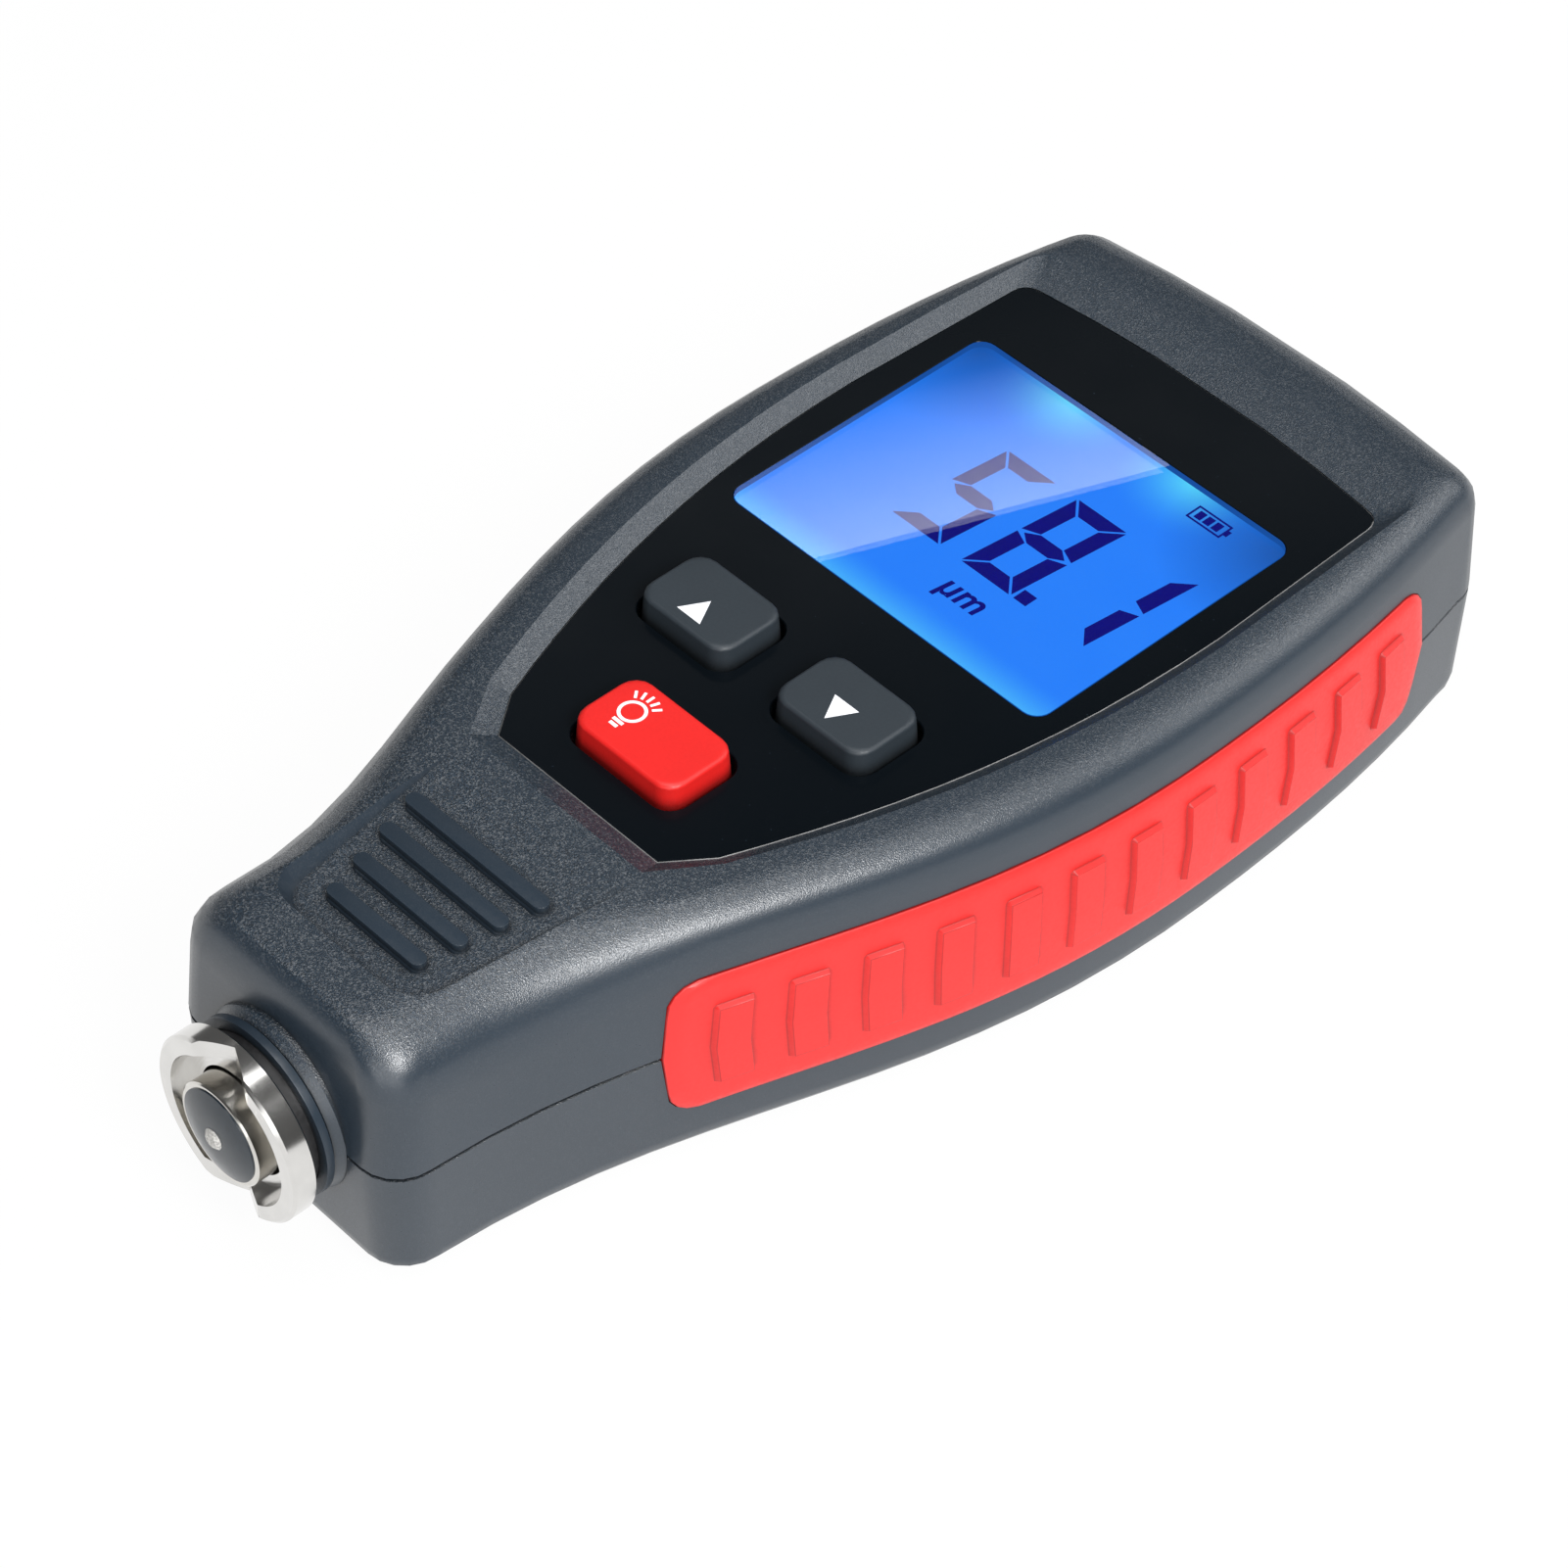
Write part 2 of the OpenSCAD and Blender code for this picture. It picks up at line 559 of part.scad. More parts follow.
module front_housing() {
    color([0.2, 0.22, 0.25]) difference() {
        union() {
            difference() {
                upper_form();
                upper_hollow();
                loft([lifted(panel_outline(0, 0, 0), panel_z - eps),
                    lifted(panel_outline(rim_side, rim_front, rim_rear), body_h + eps)]);
                translate([0, 0, panel_z - panel_t])
                    linear_extrude(panel_t) polygon(panel_outline(panel_gap, panel_gap, panel_gap));
                thumb_cut();
            }
            ribs();
            collar();
            saddle(true);
            for (p = POSTS)
                translate([p[0], p[1], part_z]) cylinder(h = shelf_z + shelf_t / 2 - part_z, r = boss_r);
            for (p = BOARD_POSTS)
                translate([p[0], p[1], board_z]) cylinder(h = board_drop + shelf_t / 2, r = board_post_r);
        }
        beyond_parting(true);
        probe_bore();
        translate([0, window_y, shelf_z - 1])
            rounded_block(lcd_w + 2 * lcd_gap, lcd_l + 2 * lcd_gap, window_round, shelf_t + 1.5);
        for (k = KEYS)
            translate([k[0], k[1], shelf_z - 1])
                rounded_block(k[2] + 2 * key_gap, key_l + 2 * key_gap, key_round, shelf_t + 1.5);
        for (p = POSTS)
            translate([p[0], p[1], part_z - 1]) cylinder(h = screw_bite + 1.5, r = screw_r);
        for (p = BOARD_POSTS)
            translate([p[0], p[1], board_z - 1]) cylinder(h = board_bite + 1.5, r = board_screw_r);
        grip_cut(1);
        grip_cut(-1);
    }
}
module rear_housing() {
    color([0.2, 0.22, 0.25]) difference() {
        union() {
            difference() {
                union() {
                    difference() {
                        lower_form();
                        lower_hollow();
                    }
                    collar();
                    saddle(false);
                    for (p = POSTS)
                        translate([p[0], p[1], wall / 2]) cylinder(h = part_z - wall / 2, r = boss_r);
                }
                beyond_parting(false);
            }
            bay_box();
        }
        probe_bore();
        translate([-bay_w / 2, bay_y, -1]) cube([bay_w, bay_l, bay_h + 1]);
        door_slot();
        for (p = POSTS) {
            translate([p[0], p[1], -1]) cylinder(h = screw_sink + 1, r = screw_head + 0.2);
            translate([p[0], p[1], 0]) cylinder(h = part_z + 1, r = screw_r + 0.15);
        }
        grip_cut(1);
        grip_cut(-1);
    }
}
// Battery bay with its roof, and the floor that the door slides under
module bay_box() {
    floor_w = door_w + 2 * (rail_w + bay_t + 1);
    floor_l = rear_y - rear_sag - wall - door_y + bay_t;
    translate([-door_w / 2, door_y, wall / 2]) cube([door_w, bay_l + 2 * bay_t, bay_h + bay_t - wall / 2]);
    translate([-floor_w / 2, door_y - bay_t, wall / 2]) cube([floor_w, floor_l, door_t + bay_t - wall / 2]);
}
module door_slot() {
    l = rear_y - door_y + 2;
    translate([-door_w / 2 - door_gap, door_y - door_gap, -1])
        cube([door_w + 2 * door_gap, l, door_t + door_gap + 1]);
    translate([-door_w / 2 - rail_w - door_gap, door_y - door_gap, rail_z - door_gap])
        cube([door_w + 2 * rail_w + 2 * door_gap, l, door_t - rail_z + 2 * door_gap]);
}
module battery_door() {
    color([0.2, 0.22, 0.25]) difference() {
        intersection() {
            lower_form();
            union() {
                translate([-door_w / 2, door_y, 0]) cube([door_w, rear_y - door_y, door_t]);
                translate([-door_w / 2 - rail_w, door_y, rail_z])
                    cube([door_w + 2 * rail_w, rear_y - door_y, door_t - rail_z]);
            }
        }
        for (k = [0:groove_count - 1])
            translate([0, door_y + groove_in + k * groove_pitch, groove_d - groove_r])
                rotate([0, 90, 0]) cylinder(h = groove_l, r = groove_r, center = true);
    }
}
module grip_right() {
    color([0.9, 0.16, 0.14]) grip_band(grip_bed, grip_proud, 0, true);
}
module grip_left() {
    color([0.9, 0.16, 0.14]) mirror([1, 0, 0]) grip_band(grip_bed, grip_proud, 0, true);
}

// Panel, lens and display
module window_shape(grow) {
    w = window_w + 2 * grow;
    l = window_l + 2 * grow;
    translate([0, window_y]) polygon(rounded(w, l, window_round + grow, 6));
}
module display_panel() {
    color([0.05, 0.05, 0.06]) translate([0, 0, panel_z - panel_t]) difference() {
        linear_extrude(panel_t) polygon(panel_outline(0, 0, 0));
        translate([0, 0, -1]) linear_extrude(panel_t + 2) window_shape(0);
        for (k = KEYS)
            translate([k[0], k[1], -1])
                rounded_block(k[2] + 2 * key_gap, key_l + 2 * key_gap, key_round + key_gap, panel_t + 2);
    }
}
module display_lens() {
    color([0.6, 0.8, 1, 0.4]) translate([0, 0, panel_z - panel_t])
        linear_extrude(panel_t) window_shape(-lens_gap);
}
module lcd_glass() {
    color([0.45, 0.65, 1]) translate([0, window_y, glass_z])
        rounded_block(lcd_w, lcd_l, 0.4, glass_t);
}
module lcd_backlight() {
    color([0.8, 0.9, 1]) translate([0, window_y + contact_l / 2, board_z])
        rounded_block(lcd_w, lcd_l - contact_l, 0.4, glass_z - board_z);
}
module lcd_connector() {
    color([0.9, 0.5, 0.6]) translate([0, window_y - lcd_l / 2 + contact_l / 2, board_z])
        rounded_block(lcd_w - 4, contact_l - 0.6, 0.2, glass_z - board_z);
}
module lcd_frame() {
    color([0.9, 0.9, 0.88]) translate([0, window_y, board_z]) difference() {
        rounded_block(lcd_w + 2 * frame_t, lcd_l + 2 * frame_t, 1, board_drop - lcd_gap);
        translate([0, 0, -1]) rounded_block(lcd_w + 2 * lcd_gap, lcd_l + 2 * lcd_gap, 0.5, board_drop + 2);
    }
}

// Main board with its switches and chip
module main_board() {
    front_y = nose_y + board_at;
    wide_y = arrow_y + key_l / 2;
    half = [[board_front_w / 2, front_y], [board_w / 2, wide_y], [board_w / 2, board_rear_y]];
    color([0.1, 0.4, 0.2]) translate([0, 0, board_z - board_t]) difference() {
        linear_extrude(board_t) polygon(mirrored(half));
        for (p = BOARD_POSTS)
            translate([p[0], p[1], -1]) cylinder(h = board_t + 2, r = board_screw_r + 0.1);
    }
}
module key_switches() {
    switch_gap = 0.1;
    button_h = 0.4;
    button_r = 1.6;
    high = shelf_z - key_hang - flange_t - key_travel - switch_gap - board_z;
    color([0.15, 0.15, 0.15]) for (k = KEYS)
        translate([k[0], k[1], board_z]) {
            translate([-switch_w / 2, -switch_w / 2, 0]) cube([switch_w, switch_w, high - button_h]);
            cylinder(h = high, r = button_r);
        }
}
module processor_chip() {
    color([0.1, 0.1, 0.1]) translate([-chip_w / 2, door_y - chip_gap - chip_w, board_z - board_t - chip_t])
        cube([chip_w, chip_w, chip_t]);
}

// Cells, their springs and their plates
module cell(turned) {
    button_l = 0.8;
    button_r = 1.9;
    y = turned ? bay_y + plate_t + cell_fit : bay_y + bay_l - plate_t - cell_fit;
    x = turned ? cell_x : -cell_x;
    translate([x, y, cell_z]) rotate([turned ? -90 : 90, 0, 0]) {
        cylinder(h = button_l + 0.2, r = button_r);
        translate([0, 0, button_l]) cylinder(h = cell_l - button_l, r = cell_r);
    }
}
module battery_cell_left() {
    color([0.8, 0.6, 0.2]) cell(false);
}
module battery_cell_right() {
    color([0.8, 0.6, 0.2]) cell(true);
}
module battery_plates() {
    size = cell_d - 1.6;
    color([0.85, 0.85, 0.85]) for (x = [-cell_x, cell_x], y = [bay_y, bay_y + bay_l - plate_t])
        translate([x - size / 2, y, cell_z - size / 2]) cube([size, plate_t, size]);
}
// Round wire wound in a coil along +Y, from one radius to another
module coil(r0, r1, l, turns, wire) {
    per_turn = 12;
    sides = 5;
    steps = turns * per_turn;
    rise = l - wire;
    rings = [for (k = [0:steps]) let (t = k / steps, a = 360 * turns * t, r = r0 + (r1 - r0) * t)
        [for (j = [0:sides - 1]) let (b = 360 * j / sides, q = r + wire / 2 * cos(b))
            [q * cos(a), wire / 2 + rise * t + wire / 2 * sin(b), q * sin(a)]]];
    loft(rings);
}
module battery_springs() {
    l = spring_room - plate_t;
    base_r = 3.4;
    top_r = 2.2;
    turns = 3;
    wire = 0.6;
    color([0.85, 0.85, 0.85]) {
        translate([-cell_x, bay_y + plate_t, cell_z]) coil(base_r, top_r, l, turns, wire);
        translate([cell_x, bay_y + bay_l - plate_t, cell_z])
            mirror([0, 1, 0]) coil(base_r, top_r, l, turns, wire);
    }
}

// Screws
module pan_screw(head_r, head_h, r, l) {
    difference() {
        union() {
            cylinder(h = head_h, r = head_r);
            translate([0, 0, head_h - eps]) cylinder(h = l, r = r);
        }
        for (turn = [0, 90])
            rotate([0, 0, turn]) translate([-head_r * 0.6, -head_r * 0.12, -1])
                cube([head_r * 1.2, head_r * 0.24, 1 + head_h * 0.45]);
    }
}
module housing_screws() {
    color([0.7, 0.7, 0.7]) for (p = POSTS)
        translate([p[0], p[1], screw_sink - screw_head_h])
            pan_screw(screw_head, screw_head_h, screw_r, part_z - screw_sink + screw_bite);
}
module board_screws() {
    color([0.7, 0.7, 0.7]) for (p = BOARD_POSTS)
        translate([p[0], p[1], board_z - board_t - board_head_h])
            pan_screw(board_screw_r * 2, board_head_h, board_screw_r, board_t + board_bite);
}

// Probe, from the guard ring in the open to the cap at the back of its bush
ring_y = nose_y - ring_out;
neck_y = ring_y + ring_l;
guide_end_y = neck_y + guide_l;
bush_end_y = nose_y + bush_l;
sleeve_y = nose_y - sleeve_out;
collar_t = 1.5;
sleeve_edge = 0.15;
stop_room = 0.4;
coil_room = 0.4;
spring_fit = 0.5;
stop_gap = 0.1;
sleeve_end_y = guide_end_y + stop_gap + collar_t;
sleeve_in = sleeve_r - sleeve_t;
cap_l = 2;
module probe_guard_ring() {
    edge = 0.3;
    web = 0.6;
    color([0.85, 0.86, 0.87]) difference() {
        along_y(ring_y, part_z) rotate_extrude() polygon([[ring_in, 0], [ring_r - edge, 0], [ring_r, edge],
            [ring_r, ring_l - edge / 2], [ring_r - edge / 2, ring_l], [guide_r, ring_l],
            [guide_r, ring_l + guide_l], [guide_in, ring_l + guide_l], [guide_in, ring_l - web],
            [ring_in, ring_l - web]]);
        translate([0, 0, part_z - ring_r - 1]) linear_extrude(2 * ring_r + 2)
            polygon([[-notch_w * 1.5, ring_y - notch_d / 2], [0, ring_y + notch_d],
                [notch_w * 1.5, ring_y - notch_d / 2]]);
    }
}
module probe_bush() {
    color([0.08, 0.08, 0.09]) along_y(neck_y, part_z) rotate_extrude() polygon([[guide_r, 0], [neck_r, 0],
        [neck_r, seat_y - neck_y], [bush_r, seat_y - neck_y], [bush_r, bush_end_y - neck_y],
        [guide_r, bush_end_y - neck_y]]);
}
module probe_end_cap() {
    bore = 1.5;
    flange = 1.4;
    end = cap_l + flange;
    color([0.08, 0.08, 0.09]) along_y(bush_end_y - cap_l, part_z) rotate_extrude() polygon([[bore, 0],
        [guide_r, 0], [guide_r, cap_l], [bush_r, cap_l], [bush_r, end], [bore, end]]);
}
module probe_sleeve() {
    l = sleeve_end_y - sleeve_y;
    stop_r = guide_r - stop_room;
    color([0.75, 0.75, 0.74]) along_y(sleeve_y, part_z) rotate_extrude() polygon([[sleeve_in, 0],
        [sleeve_r - sleeve_edge, 0], [sleeve_r, sleeve_edge], [sleeve_r, l - collar_t],
        [stop_r, l - collar_t], [stop_r, l], [sleeve_in, l]]);
}
face_t = 1.6;
dome = 0.5;
face_out = 0.1;
face_y = sleeve_y - face_out;
module probe_face() {
    steps = 6;
    profile = [for (k = [0:steps]) let (r = tip_r + (sleeve_in - tip_r) * k / steps)
        [r, dome * pow((r - tip_r) / (sleeve_in - tip_r), 2) - dome]];
    color([0.25, 0.27, 0.3]) along_y(face_y, part_z) rotate_extrude()
        polygon(concat(profile, [[sleeve_in, face_t], [tip_r, face_t]]));
}
module probe_tip() {
    tip_round = 0.35;
    tip_y = nose_y - probe_out;
    l = sleeve_end_y - tip_y;
    color([0.8, 0.8, 0.78]) along_y(tip_y, part_z)
        rotate_extrude() polygon([[0, 0], [tip_r - tip_round, tip_round / 6], [tip_r, tip_round],
            [tip_r, l], [0, l]]);
}
bobbin_wall = 0.6;
module probe_bobbin() {
    l = sleeve_end_y - face_y - face_t;
    hub = tip_r + bobbin_wall;
    color([0.9, 0.88, 0.8]) along_y(face_y + face_t, part_z) rotate_extrude() polygon([[tip_r, 0],
        [sleeve_in, 0], [sleeve_in, bobbin_wall], [hub, bobbin_wall], [hub, l - bobbin_wall],
        [sleeve_in, l - bobbin_wall], [sleeve_in, l], [tip_r, l]]);
}
module probe_coil() {
    l = sleeve_end_y - face_y - face_t - 2 * bobbin_wall;
    color([0.72, 0.42, 0.2]) along_y(face_y + face_t + bobbin_wall, part_z) difference() {
        cylinder(h = l, r = sleeve_in - coil_room);
        translate([0, 0, -1]) cylinder(h = l + 2, r = tip_r + bobbin_wall);
    }
}
module probe_spring() {
    l = bush_end_y - cap_l - sleeve_end_y;
    r = guide_r - spring_fit - spring_wire / 2;
    color([0.7, 0.7, 0.72]) translate([0, sleeve_end_y, part_z]) coil(r, r, l, spring_turns, spring_wire);
}

// Keys with a rounded top edge and a flange under the shelf
module key(k) {
    top = panel_z + key_rise;
    low = shelf_z - key_hang;
    wide = 2 * (key_gap + key_flange);
    edge_steps = 3;
    translate([k[0], k[1], 0]) {
        loft(concat([lifted(rounded(k[2], key_l, key_round, 4), low - eps)],
            [for (n = [0:edge_steps])
                let (a = 90 * n / edge_steps, s = 2 * (key_draft + key_edge * (1 - cos(a))))
                lifted(rounded(k[2] - s, key_l - s, key_round, 4), top - key_edge * (1 - sin(a)))]));
        translate([0, 0, low - flange_t]) rounded_block(k[2] + wide, key_l + wide, key_round, flange_t);
    }
}
module key_up() {
    color([0.27, 0.28, 0.3]) key(KEYS[0]);
}
module key_down() {
    color([0.27, 0.28, 0.3]) key(KEYS[1]);
}
module key_cal() {
    color([0.9, 0.16, 0.14]) key(KEYS[2]);
}

front_housing();
rear_housing();
grip_left();
grip_right();
display_panel();
display_lens();
lcd_glass();
lcd_backlight();
lcd_frame();
lcd_connector();
main_board();
key_switches();
processor_chip();
battery_cell_left();
battery_cell_right();
battery_springs();
battery_plates();
housing_screws();
board_screws();
probe_guard_ring();
probe_bush();
probe_end_cap();
key_up();
key_down();
key_cal();
probe_sleeve();
probe_face();
probe_tip();
probe_bobbin();
probe_coil();
probe_spring();
battery_door();
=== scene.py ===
"""Finishes, prints and fine details of a hand-held coating thickness gauge, as an add-on.

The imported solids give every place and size. The pieces made here are smooth skins for the
solids, the tops of the ribs, the lip of the collar, the signs on the keys and the figures on
the display.
"""

import json
import math

import bpy
from mathutils import Matrix, Vector


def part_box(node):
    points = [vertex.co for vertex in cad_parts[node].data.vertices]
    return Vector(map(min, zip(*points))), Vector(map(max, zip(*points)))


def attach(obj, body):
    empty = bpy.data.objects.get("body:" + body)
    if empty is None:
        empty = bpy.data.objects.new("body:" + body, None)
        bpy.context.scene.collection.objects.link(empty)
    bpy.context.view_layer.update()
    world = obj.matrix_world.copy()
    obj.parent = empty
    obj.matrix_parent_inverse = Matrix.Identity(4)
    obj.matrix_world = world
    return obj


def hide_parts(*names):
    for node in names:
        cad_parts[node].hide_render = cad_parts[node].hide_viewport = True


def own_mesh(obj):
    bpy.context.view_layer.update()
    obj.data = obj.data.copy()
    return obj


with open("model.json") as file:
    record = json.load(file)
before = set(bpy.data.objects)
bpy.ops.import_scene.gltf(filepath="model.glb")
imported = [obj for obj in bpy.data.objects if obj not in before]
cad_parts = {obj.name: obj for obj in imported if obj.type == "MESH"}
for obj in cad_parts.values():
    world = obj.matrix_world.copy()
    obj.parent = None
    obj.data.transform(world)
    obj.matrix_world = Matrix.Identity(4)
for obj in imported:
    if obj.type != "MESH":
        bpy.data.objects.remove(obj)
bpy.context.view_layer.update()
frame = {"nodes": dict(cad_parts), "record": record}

bl_info = {
    "name": "Coating thickness gauge finishes",
    "version": (1, 0, 0),
    "blender": (4, 5, 0),
    "location": "View3D > Sidebar > Gauge",
    "description": "Skins, materials, prints and stage for a coating thickness gauge",
    "category": "Object",
}

RECORD = frame["record"]
BODY_OF = {name: body for body, names in RECORD["behaviour"]["bodies"].items() for name in names}
MM = 0.001
MERGE_GAP = 1e-6
BLACK = (0.0, 0.0, 0.0, 1.0)
FILM_BASE = (0.0, 0.0, 0.01, 1.0)

# Angles in degrees past which an edge stays sharp
HOUSING_CREASE = 24.0
FLAT_CREASE = 30.0
TURNED_CREASE = 32.0
SOFT_CREASE = 35.0
KEY_CREASE = 38.0

# The range that most of a noise pattern lies in
NOISE_LOW, NOISE_HIGH = 0.3, 0.7


def corners(name):
    """The lowest and the highest corner of a solid's box."""
    low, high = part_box(name)
    return Vector(low), Vector(high)


KEY_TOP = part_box("key_cal")[1][2]
GLASS_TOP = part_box("lcd_glass")[1][2]
WINDOW_LOW, WINDOW_HIGH = corners("display_lens")


# Settings that a user would change


def colour(name, description, default):
    """A colour setting."""
    return bpy.props.FloatVectorProperty(
        name=name, description=description, subtype="COLOR", size=4, min=0, max=1,
        default=(*default, 1),
    )


def length(name, description, default):
    """A length setting in metres."""
    return bpy.props.FloatProperty(
        name=name, description=description, subtype="DISTANCE", unit="LENGTH", precision=5,
        default=default,
    )


class GaugeColours(bpy.types.PropertyGroup):
    """Colours of the moulded, printed, lit and plated surfaces."""

    housing: colour("Housing", "Moulded housing halves", (0.0165, 0.0265, 0.0390))
    grip: colour("Grip", "Soft grips along the flanks", (0.66, 0.0125, 0.0105))
    grey_key: colour("Grey keys", "Arrow keys", (0.022, 0.030, 0.038))
    red_key: colour("Red key", "Calibrate key", (0.69, 0.0125, 0.0105))
    panel: colour("Panel", "Front panel", (0.0025, 0.004, 0.0057))
    lit: colour("Backlight", "Lit face of the display", (0.016, 0.215, 1.0))
    glow: colour("Lamp glow", "Lit face beside its lamps", (0.10, 0.72, 1.0))
    figure: colour("Figures", "Figures on the display", (0.0, 0.0, 0.25))
    print_white: colour("Print", "Prints on the keys", (0.86, 0.87, 0.92))
    chrome: colour("Chrome", "Guard ring", (0.74, 0.73, 0.71))


class GaugeHousing(bpy.types.PropertyGroup):
    """Sizes of the details on the housing."""

    rest_front: length("Rest front", "Front edge of the thumb rest", -49.3 * MM)
    rest_l: length("Rest length", "Length of the thumb rest", 20.7 * MM)
    rest_d: length("Rest depth", "Depth of the thumb rest at its front", 2.1 * MM)
    rib_at: length("Rib place", "Distance from the rest's front to the first rib", 4.2 * MM)
    rib_pitch: length("Rib pitch", "Distance between the ribs", 3.5 * MM)
    rib_l: length("Rib length", "Length of the first rib", 11.6 * MM)
    rib_step: length("Rib step", "Difference in length between the ribs", 1.8 * MM)
    rib_w: length("Rib width", "Width of a rib", 1.5 * MM)
    rib_h: length("Rib height", "Height of a rib", 0.68 * MM)
    lip_in: length("Lip radius", "Inner radius of the collar lip", 7.28 * MM)
    lip_t: length("Lip thickness", "Thickness of the collar lip", 1.0 * MM)
    lip_edge: length("Lip edge", "Rounding of the collar lip", 0.32 * MM)
    lip_l: length("Lip length", "Length of the collar lip", 0.75 * MM)
    lip_back: length("Lip place", "Front face of the collar behind the lip", -57.0 * MM)


class GaugePrints(bpy.types.PropertyGroup):
    """Sizes of the prints and of the figures on the display."""

    thickness: length("Thickness", "Thickness of a print", 0.02 * MM)
    digit_h: length("Figure height", "Height of the large figures", 13.0 * MM)
    digit_w: length("Figure width", "Width of the large figures", 6.0 * MM)
    bar: length("Bar width", "Width of one bar of a figure", 1.62 * MM)
    gap: length("Bar gap", "Gap between the bars of a figure", 0.16 * MM)
    slant: bpy.props.FloatProperty(
        name="Slant", description="Slant of the figures", subtype="ANGLE", default=math.radians(6)
    )
    arrow_w: length("Arrow width", "Width of the arrow signs", 2.85 * MM)
    lamp_r: length("Lamp radius", "Radius of the lamp sign", 1.3 * MM)


class GaugeStage(bpy.types.PropertyGroup):
    """Camera and light levels."""

    lens: bpy.props.FloatProperty(
        name="Lens", description="Focal length", unit="CAMERA", default=111.817
    )
    world: bpy.props.FloatProperty(
        name="World", description="Strength of the sky light", default=0.12
    )
    floor: bpy.props.FloatProperty(
        name="Floor", description="Whiteness of the floor to the camera", default=0.96
    )


# Modelling helpers


def take(piece):
    """Selects one piece alone and makes it active."""
    bpy.ops.object.select_all(action="DESELECT")
    piece.select_set(True)
    bpy.context.view_layer.objects.active = piece


def apply_modifiers(piece):
    """Applies every modifier of a piece in order."""
    take(piece)
    for modifier in list(piece.modifiers):
        bpy.ops.object.modifier_apply(modifier=modifier.name)


def apply_place(piece):
    """Moves a piece's place and turn into its mesh."""
    take(piece)
    bpy.ops.object.transform_apply(location=True, rotation=True, scale=True)


def smooth(piece, crease):
    """Smooth shading that breaks at edges sharper than an angle in degrees."""
    take(piece)
    bpy.ops.object.shade_smooth_by_angle(angle=math.radians(crease))


def round_edges(piece, width, segments, limit=30.0, material=-1):
    """Bevels the edges that are sharper than an angle in degrees."""
    edge = piece.modifiers.new("Edge", "BEVEL")
    edge.width, edge.segments, edge.material = width, segments, material
    edge.limit_method = "ANGLE"
    edge.angle_limit = math.radians(limit)
    apply_modifiers(piece)


def give(piece, material, body):
    """Sets a piece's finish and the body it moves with."""
    piece.data.materials.clear()
    piece.data.materials.append(material)
    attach(piece, body)


def skin(name, material, crease=FLAT_CREASE):
    """A merged copy of a solid with smooth shading that breaks at its creases."""
    piece = bpy.data.objects.new(name + "_skin", frame["nodes"][name].data.copy())
    bpy.context.collection.objects.link(piece)
    take(piece)
    bpy.ops.mesh.customdata_custom_splitnormals_clear()
    bpy.ops.object.mode_set(mode="EDIT")
    bpy.ops.mesh.select_all(action="SELECT")
    bpy.ops.mesh.remove_doubles(threshold=MERGE_GAP)
    bpy.ops.object.mode_set(mode="OBJECT")
    smooth(piece, crease)
    weighted = piece.modifiers.new("Weighted", "WEIGHTED_NORMAL")
    weighted.keep_sharp = True
    apply_modifiers(piece)
    give(piece, material, BODY_OF[name])
    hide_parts(name)
    return piece


def close_up(piece):
    """Merges the doubled points of a piece and turns its faces outwards."""
    take(piece)
    bpy.ops.object.mode_set(mode="EDIT")
    bpy.ops.mesh.select_all(action="SELECT")
    bpy.ops.mesh.remove_doubles(threshold=MERGE_GAP)
    bpy.ops.mesh.normals_make_consistent(inside=False)
    bpy.ops.object.mode_set(mode="OBJECT")


def set_down(piece, place):
    """Makes a flat curve or a text a closed mesh at its place."""
    take(piece)
    bpy.ops.object.convert(target="MESH")
    piece = bpy.context.object
    piece.location = place
    apply_place(piece)
    close_up(piece)
    return piece


def flat_print(name, outlines, low, thickness):
    """A thin flat piece with the given closed outlines, holes included, on a level plane."""
    curve = bpy.data.curves.new(name, "CURVE")
    curve.dimensions = "2D"
    curve.fill_mode = "BOTH"
    curve.extrude = thickness / 2
    for outline in outlines:
        spline = curve.splines.new("POLY")
        spline.points.add(len(outline) - 1)
        for point, place in zip(spline.points, outline):
            point.co = (place[0], place[1], 0, 1)
        spline.use_cyclic_u = True
    piece = bpy.data.objects.new(name, curve)
    bpy.context.collection.objects.link(piece)
    return set_down(piece, (0, 0, low + thickness / 2))


def circle_outline(centre, radius, steps=32):
    """Points on a circle."""
    return arc_outline(centre, radius, steps, 0.0, 2 * math.pi)[:-1]


def arc_outline(centre, radius, steps, start, end):
    """Points on an arc, both ends included."""
    angles = [start + (end - start) * k / steps for k in range(steps + 1)]
    return [
        (centre[0] + radius * math.cos(angle), centre[1] + radius * math.sin(angle))
        for angle in angles
    ]


def bar_outline(start, end, width):
    """A straight bar between two points."""
    start, end = Vector(start), Vector(end)
    run = end - start
    side = Vector((-run.y, run.x)).normalized() * width / 2
    return [tuple(point) for point in (start - side, end - side, end + side, start + side)]


def box_outline(x0, y0, x1, y1):
    """A rectangle."""
    return [(x0, y0), (x1, y0), (x1, y1), (x0, y1)]


# Material helpers


def add(material, kind, inputs=None, **settings):
    """Adds a node, with settings and with its inputs set or linked."""
    made = material.node_tree.nodes.new(kind)
    for key, value in settings.items():
        setattr(made, key, value)
    for key, value in (inputs or {}).items():
        if isinstance(value, bpy.types.NodeSocket):
            material.node_tree.links.new(value, made.inputs[key])
        else:
            made.inputs[key].default_value = value
    return made


